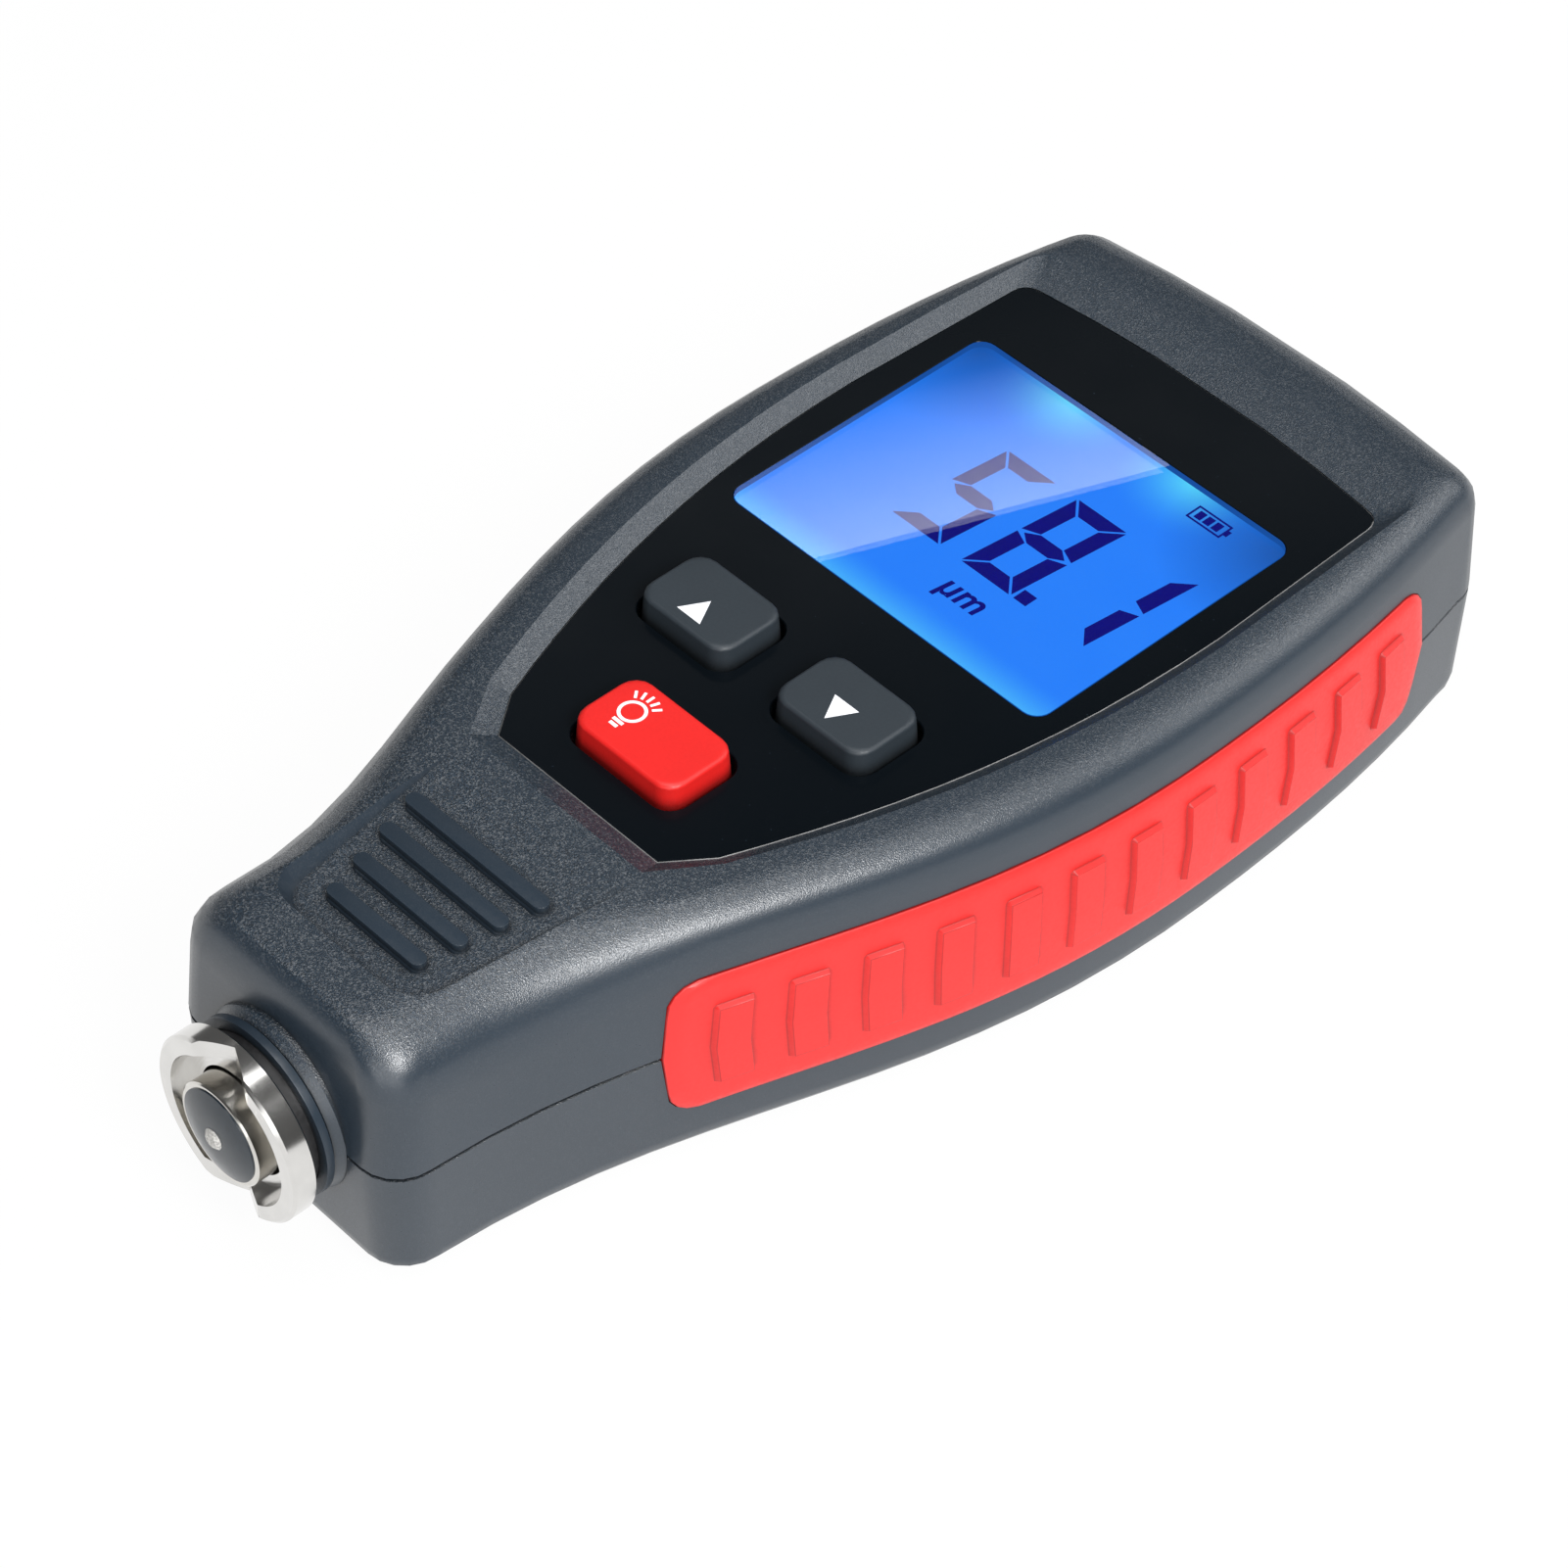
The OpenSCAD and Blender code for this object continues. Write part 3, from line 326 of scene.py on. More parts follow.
def new_material(name, **sockets):
    """A material with one principled shader, its sockets set."""
    material = bpy.data.materials.new(name)
    material.use_nodes = True
    material.node_tree.nodes.clear()
    output = add(material, "ShaderNodeOutputMaterial")
    shader = add(material, "ShaderNodeBsdfPrincipled")
    material.node_tree.links.new(shader.outputs[0], output.inputs["Surface"])
    for key, value in sockets.items():
        shader.inputs[key.replace("_", " ")].default_value = value
    return material, shader


def link(material, source, shader, socket):
    """Links an output to a socket."""
    material.node_tree.links.new(source, shader.inputs[socket])


def places(material):
    """The texture coordinates of a material."""
    return add(material, "ShaderNodeTexCoord").outputs


def split(material, vector):
    """The X, Y and Z of a vector."""
    return add(material, "ShaderNodeSeparateXYZ", {"Vector": vector}).outputs


def distance(material, where, point):
    """The distance from a point."""
    made = add(material, "ShaderNodeVectorMath", {0: where, 1: point}, operation="DISTANCE")
    return made.outputs["Value"]


def noise(material, where, scale, detail=2.0, roughness=0.5):
    """A noise pattern in object space."""
    return add(
        material, "ShaderNodeTexNoise",
        {"Vector": where, "Scale": scale, "Detail": detail, "Roughness": roughness},
    ).outputs["Fac"]


def span(material, value, low, high, to_low, to_high):
    """A value mapped from one range to another and held inside it."""
    return add(
        material, "ShaderNodeMapRange",
        {"Value": value, "From Min": low, "From Max": high, "To Min": to_low, "To Max": to_high},
    ).outputs["Result"]


def spread(material, pattern, to_low, to_high):
    """A noise pattern mapped to a range."""
    return span(material, pattern, NOISE_LOW, NOISE_HIGH, to_low, to_high)


def math_node(material, operation, a, b=0.0):
    """A sum, product or other step on two values."""
    return add(material, "ShaderNodeMath", {0: a, 1: b}, operation=operation).outputs[0]


def product(material, a, b):
    """The product of two values."""
    return math_node(material, "MULTIPLY", a, b)


def blend_colour(material, factor, a, b):
    """A mix of two colours."""
    made = add(material, "ShaderNodeMix", {0: factor, 6: a, 7: b}, data_type="RGBA")
    return made.outputs[2]


def scaled(base, factor):
    """A colour made lighter or darker."""
    return tuple(min(1.0, channel * factor) for channel in tuple(base)[:3]) + (1.0,)


def painted_crease_shade(material, shade, reach, depth):
    """A colour with painted shade that darkens it in creases closer than a reach."""
    closed, clear = 0.45, 0.96
    node = add(material, "ShaderNodeAmbientOcclusion", {"Distance": reach}, samples=8)
    dark = span(material, node.outputs["AO"], closed, clear, depth, 0.0)
    # Painted shade: the colour goes towards black where the creases close in.
    return blend_colour(material, dark, shade, BLACK)


def bump(material, shader, height, strength, depth):
    """Relief from a height pattern."""
    made = add(
        material, "ShaderNodeBump", {"Height": height, "Strength": strength, "Distance": depth}
    )
    link(material, made.outputs[0], shader, "Normal")


# Finishes


def housing_plastic(base):
    """Spark-eroded plastic: a grain that is partly painted sparkle, with painted glints, strongest
    on top towards the front and smoother towards the sides, and painted shade in creases.
    """
    grain_scale, cell_scale, cloud_scale = 8600, 7800, 90
    fade_from, fade_to = -30 * MM, -5 * MM
    painted_glint_colour = (0.17, 0.18, 0.19, 1.0)
    material, shader = new_material("housing_plastic", Specular_IOR_Level=0.75)
    coordinates = places(material)
    where = coordinates["Object"]
    fine = noise(material, where, grain_scale, 1.0, 0.6)
    cells = add(material, "ShaderNodeTexVoronoi", {"Vector": where, "Scale": cell_scale}).outputs
    level = math_node(material, "ABSOLUTE", split(material, coordinates["Normal"])["Z"])
    top = span(material, level, 0.5, 0.92, 0.1, 1.0)
    height = math_node(material, "ADD", fine, product(material, cells["Distance"], 0.6))
    bump(material, shader, height, product(material, top, 0.8), 0.04 * MM)
    along = split(material, where)["Y"]
    # Partly the grain's own specks, partly painted sparkle: the grain's contrast and the glints are
    # strongest on top and fade towards the rear.
    grain_and_sparkle = product(material, top, span(material, along, fade_from, fade_to, 1.0, 0.5))
    lot = add(material, "ShaderNodeSeparateColor", {"Color": cells["Color"]}).outputs[0]
    glint = product(material, span(material, lot, 0.6, 1.0, 0.0, 1.0), grain_and_sparkle)
    raised = span(material, fine, 0.38, 0.64, 0.0, 1.0)
    grain = blend_colour(material, raised, scaled(base, 0.3), scaled(base, 1.6))
    body = blend_colour(material, grain_and_sparkle, tuple(base), grain)
    cloud = spread(material, noise(material, where, cloud_scale, 3.0), 0.0, 0.3)
    body = blend_colour(material, cloud, body, scaled(base, 0.8))
    # Painted glints: lighter cells in the colour.
    body = blend_colour(material, product(material, glint, 0.5), body, painted_glint_colour)
    # Painted shade in the creases.
    link(material, painted_crease_shade(material, body, 1.0 * MM, 0.75), shader, "Base Color")
    dull = spread(material, fine, 0.36, 0.28)
    dull = math_node(material, "SUBTRACT", dull, product(material, glint, 0.1))
    link(material, dull, shader, "Roughness")
    return material


def soft_rubber(name, base, dull, grain, relief):
    """Satin moulded rubber or plastic with a fine grain, slightly uneven colour and painted shade
    in its creases.
    """
    cloud_scale = 120
    material, shader = new_material(name)
    where = places(material)["Object"]
    fine = noise(material, where, grain, 2.0, 0.6)
    cloud = spread(material, noise(material, where, cloud_scale, 3.0), 0.0, 1.0)
    shade = blend_colour(material, cloud, scaled(base, 0.93), scaled(base, 1.05))
    pores = span(material, fine, 0.35, 0.65, 0.0, 0.3)
    shade = blend_colour(material, pores, shade, scaled(base, 0.86))
    # Painted shade in the creases.
    link(material, painted_crease_shade(material, shade, 1.2 * MM, 0.7), shader, "Base Color")
    link(material, spread(material, fine, dull - 0.05, dull + 0.06), shader, "Roughness")
    bump(material, shader, fine, relief, 0.03 * MM)
    return material


def gloss_panel(base):
    """Black panel film with faint dust and an even, low gloss."""
    haze_scale, dust_scale = 60, 2600
    material, shader = new_material("panel_film", Specular_IOR_Level=0.07)
    where = places(material)["Object"]
    haze = noise(material, where, haze_scale, 4.0)
    dust = noise(material, where, dust_scale, 1.0)
    specks = span(material, dust, 0.80, 0.84, 0.0, 0.5)
    shade = blend_colour(material, specks, tuple(base), scaled(base, 14.0))
    link(material, shade, shader, "Base Color")
    link(material, spread(material, haze, 0.16, 0.26), shader, "Roughness")
    return material


def clear_lens():
    """Clear acrylic window."""
    return new_material("clear_lens", Transmission_Weight=1.0, IOR=1.45, Roughness=0.0)[0]


def lens_edge(lit):
    """Side of the window: black, with a painted glow in the display's blue."""
    return new_material(
        "lens_edge", Base_Color=BLACK, Specular_IOR_Level=0.0, Emission_Color=tuple(lit),
        Emission_Strength=0.4,
    )[0]


def backlit_face(colours):
    """Lit display: an even blue, brighter beside the rear lamps and along the front edge."""
    lamp_places, lamp_behind = (-8.0 * MM, 7.0 * MM), 1.0 * MM
    front_from, front_to = WINDOW_LOW.y + 0.5 * MM, WINDOW_LOW.y + 4.2 * MM
    cloud_scale, grain_scale = 160, 5200
    pale, front_colour = (0.03, 0.26, 1.0, 1.0), (0.07, 0.50, 1.0, 1.0)
    material, shader = new_material(
        "backlit_face", Base_Color=FILM_BASE, Specular_IOR_Level=0.0
    )
    where = places(material)["Object"]
    parts = split(material, where)
    lamps = None
    for x in lamp_places:
        away = distance(material, where, (x, WINDOW_HIGH.y + lamp_behind, GLASS_TOP))
        near = span(material, away, 0.5 * MM, 8 * MM, 1.0, 0.0)
        near = math_node(material, "POWER", near, 2.0)
        lamps = near if lamps is None else math_node(material, "MAXIMUM", lamps, near)
    front = span(material, parts["Y"], front_from, front_to, 1.0, 0.0)
    front = math_node(material, "POWER", front, 1.6)
    across = math_node(material, "ABSOLUTE", parts["X"])
    beside = add(material, "ShaderNodeCombineXYZ", {"X": across, "Y": parts["Y"]}).outputs[0]
    corner = distance(material, beside, (WINDOW_HIGH.x, WINDOW_HIGH.y, 0))
    dim = span(material, corner, 0.0, 12 * MM, 0.5, 1.3)
    cloud = spread(material, noise(material, where, cloud_scale, 2.0), 0.0, 0.16)
    grain = spread(material, noise(material, where, grain_scale, 1.0), 0.0, 0.12)
    uneven = math_node(material, "ADD", cloud, grain)
    face = blend_colour(material, uneven, tuple(colours.lit), pale)
    face = blend_colour(material, product(material, front, 0.8), face, front_colour)
    face = blend_colour(material, lamps, face, tuple(colours.glow))
    link(material, dim, shader, "Emission Strength")
    link(material, face, shader, "Emission Color")
    return material


def figure_film(base):
    """Dark bars of the display, lit a little from behind."""
    cloud_scale = 900
    material, shader = new_material(
        "figure_film", Base_Color=FILM_BASE, Specular_IOR_Level=0.0, Emission_Strength=1.0
    )
    where = places(material)["Object"]
    uneven = spread(material, noise(material, where, cloud_scale, 1.0), 0.0, 0.3)
    shade = blend_colour(material, uneven, tuple(base), scaled(base, 0.7))
    link(material, shade, shader, "Emission Color")
    return material


def ink(base):
    """Matt printing ink, a little uneven."""
    grain_scale = 2400
    material, shader = new_material("white_ink", Roughness=0.55)
    where = places(material)["Object"]
    uneven = spread(material, noise(material, where, grain_scale, 2.0), 0.0, 1.0)
    shade = blend_colour(material, uneven, scaled(base, 0.94), scaled(base, 1.06))
    link(material, shade, shader, "Base Color")
    return material


def turned_metal(name, base, dull, marks, relief):
    """Bright metal with fine turning marks round the probe's axis."""
    stain_scale = 350
    material, shader = new_material(name, Metallic=1.0)
    where = places(material)["Object"]
    low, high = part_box("probe_tip")
    to_axis = (-(low[0] + high[0]) / 2, 0.0, -(low[2] + high[2]) / 2)
    moved = add(material, "ShaderNodeMapping", {"Vector": where, "Location": to_axis}).outputs[0]
    rings = add(
        material, "ShaderNodeTexWave",
        {"Vector": moved, "Scale": marks, "Distortion": 1.5, "Detail": 2.0},
        wave_type="RINGS", rings_direction="Y",
    ).outputs["Fac"]
    stain = span(material, noise(material, where, stain_scale, 3.0), 0.35, 0.75, 0.0, 1.0)
    shade = blend_colour(material, stain, scaled(base, 1.0), scaled(base, 0.9))
    link(material, shade, shader, "Base Color")
    link(material, span(material, rings, 0.0, 1.0, dull, dull + 0.07), shader, "Roughness")
    bump(material, shader, rings, relief, 0.01 * MM)
    return material


def plain_finish(name, base, dull, metal=0.0, grain=1500, relief=0.1, contrast=0.2):
    """A finish that is slightly uneven in colour, gloss and relief."""
    material, shader = new_material(name, Metallic=metal)
    where = places(material)["Object"]
    fine = noise(material, where, grain, 3.0)
    low, high = scaled(base, 1 - contrast), scaled(base, 1 + contrast)
    shade = blend_colour(material, spread(material, fine, 0.0, 1.0), low, high)
    link(material, shade, shader, "Base Color")
    link(material, spread(material, fine, dull - 0.06, dull + 0.06), shader, "Roughness")
    bump(material, shader, fine, relief, 0.02 * MM)
    return material


def board_lacquer():
    """Green solder resist with copper tracks under it."""
    material, shader = new_material("board_lacquer", Roughness=0.32)
    where = places(material)["Object"]
    tracks = add(
        material, "ShaderNodeTexBrick",
        {
            "Vector": where, "Scale": 260.0, "Mortar Size": 0.03,
            "Color1": (0.012, 0.13, 0.05, 1), "Color2": (0.016, 0.17, 0.06, 1),
            "Mortar": (0.03, 0.26, 0.09, 1),
        },
    )
    link(material, tracks.outputs["Color"], shader, "Base Color")
    bump(material, shader, tracks.outputs["Fac"], 0.3, 0.02 * MM)
    return material


def cell_sleeve():
    """Shrink sleeve of a cell, dark at one end."""
    dark, bright = (0.02, 0.02, 0.025, 1), (0.5, 0.3, 0.1, 1)
    edge = 0.4 * MM
    material, shader = new_material("cell_sleeve", Roughness=0.28, Metallic=0.4)
    where = places(material)["Object"]
    low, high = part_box("battery_cell_left")
    middle = (low[1] + high[1]) / 2
    band = span(material, split(material, where)["Y"], middle, middle + edge, 0.0, 1.0)
    link(material, blend_colour(material, band, dark, bright), shader, "Base Color")
    return material


# Pieces


class GAUGE_OT_housing(bpy.types.Operator):
    """Skins the housing halves and the battery door and adds the rib tops and the collar lip"""

    bl_idname = "gauge.housing"
    bl_label = "Housing"

    RIBS = 4
    RIB_LIFT = 0.1 * MM
    RIB_EDGE = 0.2 * MM
    RIB_END_STEPS = 12
    LIP_STEPS = 96

    def execute(self, context):
        colours, sizes = context.scene.gauge_colours, context.scene.gauge_housing
        plastic = housing_plastic(colours.housing)
        for name in ("front_housing", "rear_housing", "battery_door"):
            skin(name, plastic, HOUSING_CREASE)
        polished = soft_rubber(
            "polished_plastic", colours.housing, dull=0.34, grain=2600, relief=0.1
        )
        self.ribs(sizes, polished)
        self.collar_lip(sizes, polished)
        return {"FINISHED"}

    def ribs(self, sizes, material):
        """Flat polished tops of the ribs across the thumb rest."""
        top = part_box("front_housing")[1][2]
        right_angle = math.pi / 2
        for k in range(self.RIBS):
            y = sizes.rest_front + sizes.rib_at + k * sizes.rib_pitch
            half, r = (sizes.rib_l + k * sizes.rib_step) / 2, sizes.rib_w / 2
            floor = top - sizes.rest_d * (1 - (y - sizes.rest_front) / sizes.rest_l)
            outline = []
            for x, start in ((half - r, -right_angle), (r - half, right_angle)):
                outline += arc_outline((x, y), r, self.RIB_END_STEPS, start, start + math.pi)
            rib = flat_print(f"rest_rib_{k + 1}", [outline], floor + self.RIB_LIFT, sizes.rib_h)
            round_edges(rib, self.RIB_EDGE, 3)
            smooth(rib, SOFT_CREASE)
            give(rib, material, "case")

    def collar_lip(self, sizes, material):
        """A rounded lip that carries the collar forward along the neck."""
        low, high = corners("probe_bush")
        circles = [
            circle_outline((0, 0), radius, self.LIP_STEPS)
            for radius in (sizes.lip_in + sizes.lip_t, sizes.lip_in)
        ]
        lip = flat_print("collar_lip", circles, 0, sizes.lip_l)
        round_edges(lip, sizes.lip_edge, 4)
        lip.rotation_euler.x = math.pi / 2
        lip.location = (0, sizes.lip_back, (low.z + high.z) / 2)
        apply_place(lip)
        smooth(lip, SOFT_CREASE)
        give(lip, material, "case")


class GAUGE_OT_grips(bpy.types.Operator):
    """Skins the two grips, softens the edges of their pads and paints shade on those edges"""

    bl_idname = "gauge.grips"
    bl_label = "Grips"

    PAD_EDGE = 0.14 * MM
    PAD_ANGLE = 40.0
    PAINTED_EDGE_SHADE = 0.62
    RIM = 2 * MM

    def execute(self, context):
        red = context.scene.gauge_colours.grip
        rubber = soft_rubber("grip_rubber", red, dull=0.42, grain=2600, relief=0.22)
        dark = scaled(red, self.PAINTED_EDGE_SHADE)
        shade = soft_rubber("grip_edge", dark, dull=0.42, grain=2600, relief=0.22)
        for name in ("grip_left", "grip_right"):
            grip = skin(name, rubber, SOFT_CREASE)
            # Painted shade round the pads: their bevelled edges take the darker red.
            grip.data.materials.append(shade)
            round_edges(grip, self.PAD_EDGE, 2, self.PAD_ANGLE, material=1)
            low, high = corners(name)
            middle, reach = (low.z + high.z) / 2, (high.z - low.z) / 2 - self.RIM
            for face in grip.data.polygons:
                if abs(face.center.z - middle) >= reach:
                    face.material_index = 0
        return {"FINISHED"}


class GAUGE_OT_panel(bpy.types.Operator):
    """Finishes the front panel, with a painted highlight on its edges, and its lens, with a painted
    glow on its sides
    """

    bl_idname = "gauge.panel"
    bl_label = "Front panel"

    CUT_EDGE = 0.1 * MM
    CUT_ANGLE = 50.0
    EDGE_HIGHLIGHT_COLOUR = (0.20, 0.20, 0.20)
    OPENINGS = ("display_lens", "key_up", "key_down", "key_cal")
    OPENING_RIM = 1.0 * MM

    def execute(self, context):
        colours = context.scene.gauge_colours
        panel = skin("display_panel", gloss_panel(colours.panel))
        # Painted highlight: the bevelled edges of the panel take a light grey.
        panel.data.materials.append(plain_finish("panel_edge_highlight", self.EDGE_HIGHLIGHT_COLOUR, 0.3))
        round_edges(panel, self.CUT_EDGE, 1, self.CUT_ANGLE, material=1)
        openings = [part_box(name) for name in self.OPENINGS]
        for face in panel.data.polygons:
            if any(self.beside(face.center, low, high) for low, high in openings):
                face.material_index = 0
        lens = skin("display_lens", clear_lens())
        # Painted glow of the display on the sides of the window.
        lens.data.materials.append(lens_edge(colours.lit))
        for face in lens.data.polygons:
            face.material_index = 0 if abs(face.normal.z) > 0.5 else 1
        return {"FINISHED"}

    def beside(self, place, low, high):
        """Whether a place lies over an opening or on its rim."""
        rim = self.OPENING_RIM
        return all(low[k] - rim < place[k] < high[k] + rim for k in (0, 1))


class GAUGE_OT_display(bpy.types.Operator):
    """Lights the display and draws its figures"""

    bl_idname = "gauge.display"
    bl_label = "Display"

    BARS = {"5": "afgcd", "8": "abcdefg", "1": "bc"}
    # Places across the display before the shift, and places along it from the window's front
    SHIFT = -0.55 * MM
    FIGURES = (("5", -7.9 * MM), ("8", 0.7 * MM), ("1", 9.3 * MM))
    FIGURES_LOW = 9.7 * MM
    POINT_LEFT, POINT_W = 7.1 * MM, 1.45 * MM
    BATTERY_RIGHT, BATTERY_TOP = 13.75 * MM, 30.0 * MM
    BATTERY_W, BATTERY_H = 3.95 * MM, 1.9 * MM
    BATTERY_RIM, BATTERY_POLE = 0.2 * MM, 0.35 * MM
    UNIT_LEFT, UNIT_LOW = 1.55 * MM, 5.6 * MM
    UNIT_SIZE, UNIT_SHEAR, UNIT_WEIGHT = 3.7 * MM, 0.14, 0.07 * MM
    LIFT = 0.005 * MM

    def execute(self, context):
        colours, prints = context.scene.gauge_colours, context.scene.gauge_prints
        skin("lcd_glass", backlit_face(colours))
        low = WINDOW_LOW.y + self.FIGURES_LOW
        outlines = []
        for figure, left in self.FIGURES:
            outlines += self.bar_outlines(prints, self.BARS[figure], left + self.SHIFT, low)
        left = self.POINT_LEFT + self.SHIFT
        outlines.append(box_outline(left, low, left + self.POINT_W, low + self.POINT_W))
        film = figure_film(colours.figure)
        pieces = {
            "display_figures": outlines,
            "battery_sign": self.battery_rim(),
            "battery_bars": self.battery_bars(),
        }
        for name, shapes in pieces.items():
            sign = flat_print(name, shapes, GLASS_TOP + self.LIFT, prints.thickness)
            give(sign, film, "case")
        self.unit_sign(film, prints)
        return {"FINISHED"}

    def bar_outlines(self, prints, lit, left, low):
        """Closed outlines of the lit bars of one figure."""
        w, h, t, g = prints.digit_w, prints.digit_h, prints.bar, prints.gap
        middle, half = h / 2, t / 2
        nib, near, far = t * 0.25, g * 0.6, g * 1.4
        shapes = {
            "a": [(g, h), (w - g, h), (w - t - g, h - t), (t + g, h - t)],
            "d": [(g, 0), (t + g, t), (w - t - g, t), (w - g, 0)],
            "g": [
                (g + nib, middle), (t + near, middle + half), (w - t - near, middle + half),
                (w - g - nib, middle), (w - t - near, middle - half), (t + near, middle - half),
            ],
            "f": [(0, h - g), (t, h - t - g), (t, middle + half + near), (0, middle + far)],
            "b": [(w, h - g), (w, middle + far), (w - t, middle + half + near), (w - t, h - t - g)],
            "e": [(0, g), (0, middle - far), (t, middle - half - near), (t, t + g)],
            "c": [(w, g), (w - t, t + g), (w - t, middle - half - near), (w, middle - far)],
        }
        lean = math.tan(prints.slant)
        return [[(left + x + y * lean, low + y) for x, y in shapes[bar]] for bar in lit]

    def battery_rim(self):
        """Outer and inner outline of the battery sign, with its pole."""
        right, top = self.BATTERY_RIGHT + self.SHIFT, WINDOW_LOW.y + self.BATTERY_TOP
        left, low = right - self.BATTERY_W, top - self.BATTERY_H
        pole_low, pole_top = top - self.BATTERY_H * 0.7, top - self.BATTERY_H * 0.3
        pole, rim = right + self.BATTERY_POLE, self.BATTERY_RIM
        outer = [
            (left, low), (right, low), (right, pole_low), (pole, pole_low),
            (pole, pole_top), (right, pole_top), (right, top), (left, top),
        ]
        return [outer, box_outline(left + rim, low + rim, right - rim, top - rim)]

    def battery_bars(self):
        """The three bars inside the battery sign."""
        pitch, first, width, from_top, to_low = 1.0 * MM, 0.55 * MM, 0.75 * MM, 0.42 * MM, 1.48 * MM
        left = self.BATTERY_RIGHT - self.BATTERY_W + self.SHIFT + first
        top = WINDOW_LOW.y + self.BATTERY_TOP
        lefts = [left + k * pitch for k in range(3)]
        return [box_outline(x, top - to_low, x + width, top - from_top) for x in lefts]

    def unit_sign(self, film, prints):
        """The micrometre sign under the figures."""
        bpy.ops.object.select_all(action="DESELECT")
        bpy.ops.object.text_add()
        sign = bpy.context.object
        sign.name = "unit_sign"
        sign.data.body = "µm"
        sign.data.size = self.UNIT_SIZE
        sign.data.shear = self.UNIT_SHEAR
        sign.data.offset = self.UNIT_WEIGHT
        sign.data.extrude = prints.thickness / 2
        x, y = self.UNIT_LEFT + self.SHIFT, WINDOW_LOW.y + self.UNIT_LOW
        sign = set_down(sign, (x, y, GLASS_TOP + self.LIFT + prints.thickness / 2))
        give(sign, film, "case")


class GAUGE_OT_keys(bpy.types.Operator):
    """Skins the three keys and prints their signs"""

    bl_idname = "gauge.keys"
    bl_label = "Keys"

    ARROW_BACK = 1.3 * MM
    ARROW_RISE = 0.455
    LAMP_X, LAMP_Y = -2.9 * MM, 5.7 * MM
    # Parts of the lamp sign, as shares of its radius, with the angles in degrees
    BULB_IN = 0.76
    RAYS, RAY_FIRST, RAY_STEP = 5, 130, 19.5
    RAY_REACH, RAY_W = (1.24, 1.9), 0.2
    SOCKET_BARS, SOCKET_HALF = ((1.22, 0.46), (1.62, 0.34)), 0.13

    def execute(self, context):
        colours, prints = context.scene.gauge_colours, context.scene.gauge_prints
        grey = soft_rubber(
            "grey_key_rubber", colours.grey_key, dull=0.5, grain=3200, relief=0.15
        )
        red = soft_rubber("red_key_rubber", colours.red_key, dull=0.45, grain=3200, relief=0.12)
        white = ink(colours.print_white)
        for name, rubber in (("key_up", grey), ("key_down", grey), ("key_cal", red)):
            skin(name, rubber, KEY_CREASE)
        signs = {
            "key_up": [self.arrow_sign("key_up", prints.arrow_w, 1)],
            "key_down": [self.arrow_sign("key_down", prints.arrow_w, -1)],
            "key_cal": self.lamp_sign(prints.lamp_r),
        }
        for name, outlines in signs.items():
            sign = flat_print(name + "_sign", outlines, KEY_TOP, prints.thickness)
            give(sign, white, BODY_OF[name])
        return {"FINISHED"}

    def arrow_sign(self, name, width, way):
        """Outline of an arrow on a key, pointing to the rear or to the front."""
        low, high = corners(name)
        x, y = (low.x + high.x) / 2, (low.y + high.y) / 2 - self.ARROW_BACK
        rise = way * width * self.ARROW_RISE
        return [(x - width / 2, y - rise), (x + width / 2, y - rise), (x, y + rise)]

    def lamp_sign(self, r):
        """Outlines of a lamp with rays."""
        x, y = self.LAMP_X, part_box("key_cal")[0][1] + self.LAMP_Y
        outlines = [circle_outline((x, y), r), circle_outline((x, y), r * self.BULB_IN)]
        for k in range(self.RAYS):
            angle = math.radians(self.RAY_FIRST - self.RAY_STEP * k)
            run = Vector((math.cos(angle), math.sin(angle))) * r
            ends = [Vector((x, y)) + run * reach for reach in self.RAY_REACH]
            outlines.append(bar_outline(*ends, r * self.RAY_W))
        for drop, half in self.SOCKET_BARS:
            low, high = (y - r * (drop + side * self.SOCKET_HALF) for side in (1, -1))
            outlines.append(box_outline(x - r * half, low, x + r * half, high))
        return outlines


class GAUGE_OT_probe(bpy.types.Operator):
    """Skins the guard ring, the neck and the sprung probe"""

    bl_idname = "gauge.probe"
    bl_label = "Probe"

    def execute(self, context):
        chrome = context.scene.gauge_colours.chrome
        nickel = turned_metal(
            "nickel_sleeve", (0.70, 0.68, 0.64), dull=0.14, marks=1500, relief=0.1
        )
        black = plain_finish("black_bush", (0.012, 0.012, 0.013), 0.42, grain=2600, relief=0.3)
        finishes = {
            "probe_guard_ring": turned_metal(
                "chrome_ring", chrome, dull=0.15, marks=900, relief=0.03
            ),
            "probe_sleeve": nickel,
            "probe_tip": plain_finish(
                "sintered_tip", (0.50, 0.49, 0.47), 0.55,
                metal=0.5, grain=5200, relief=0.5, contrast=0.45,
            ),
            "probe_spring": nickel,
            "probe_bush": black,
            "probe_end_cap": black,
            "probe_face": plain_finish(
                "face_resin", (0.013, 0.020, 0.028), 0.2, grain=1800, relief=0.05
            ),
            "probe_coil": turned_metal(
                "copper_winding", (0.62, 0.26, 0.10), dull=0.3, marks=2200, relief=0.6
            ),
            "probe_bobbin": plain_finish("bobbin_resin", (0.70, 0.66, 0.55), 0.5),
        }
        skins = {name: skin(name, finishes[name], TURNED_CREASE) for name in finishes}
        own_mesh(skins["probe_spring"])
        return {"FINISHED"}


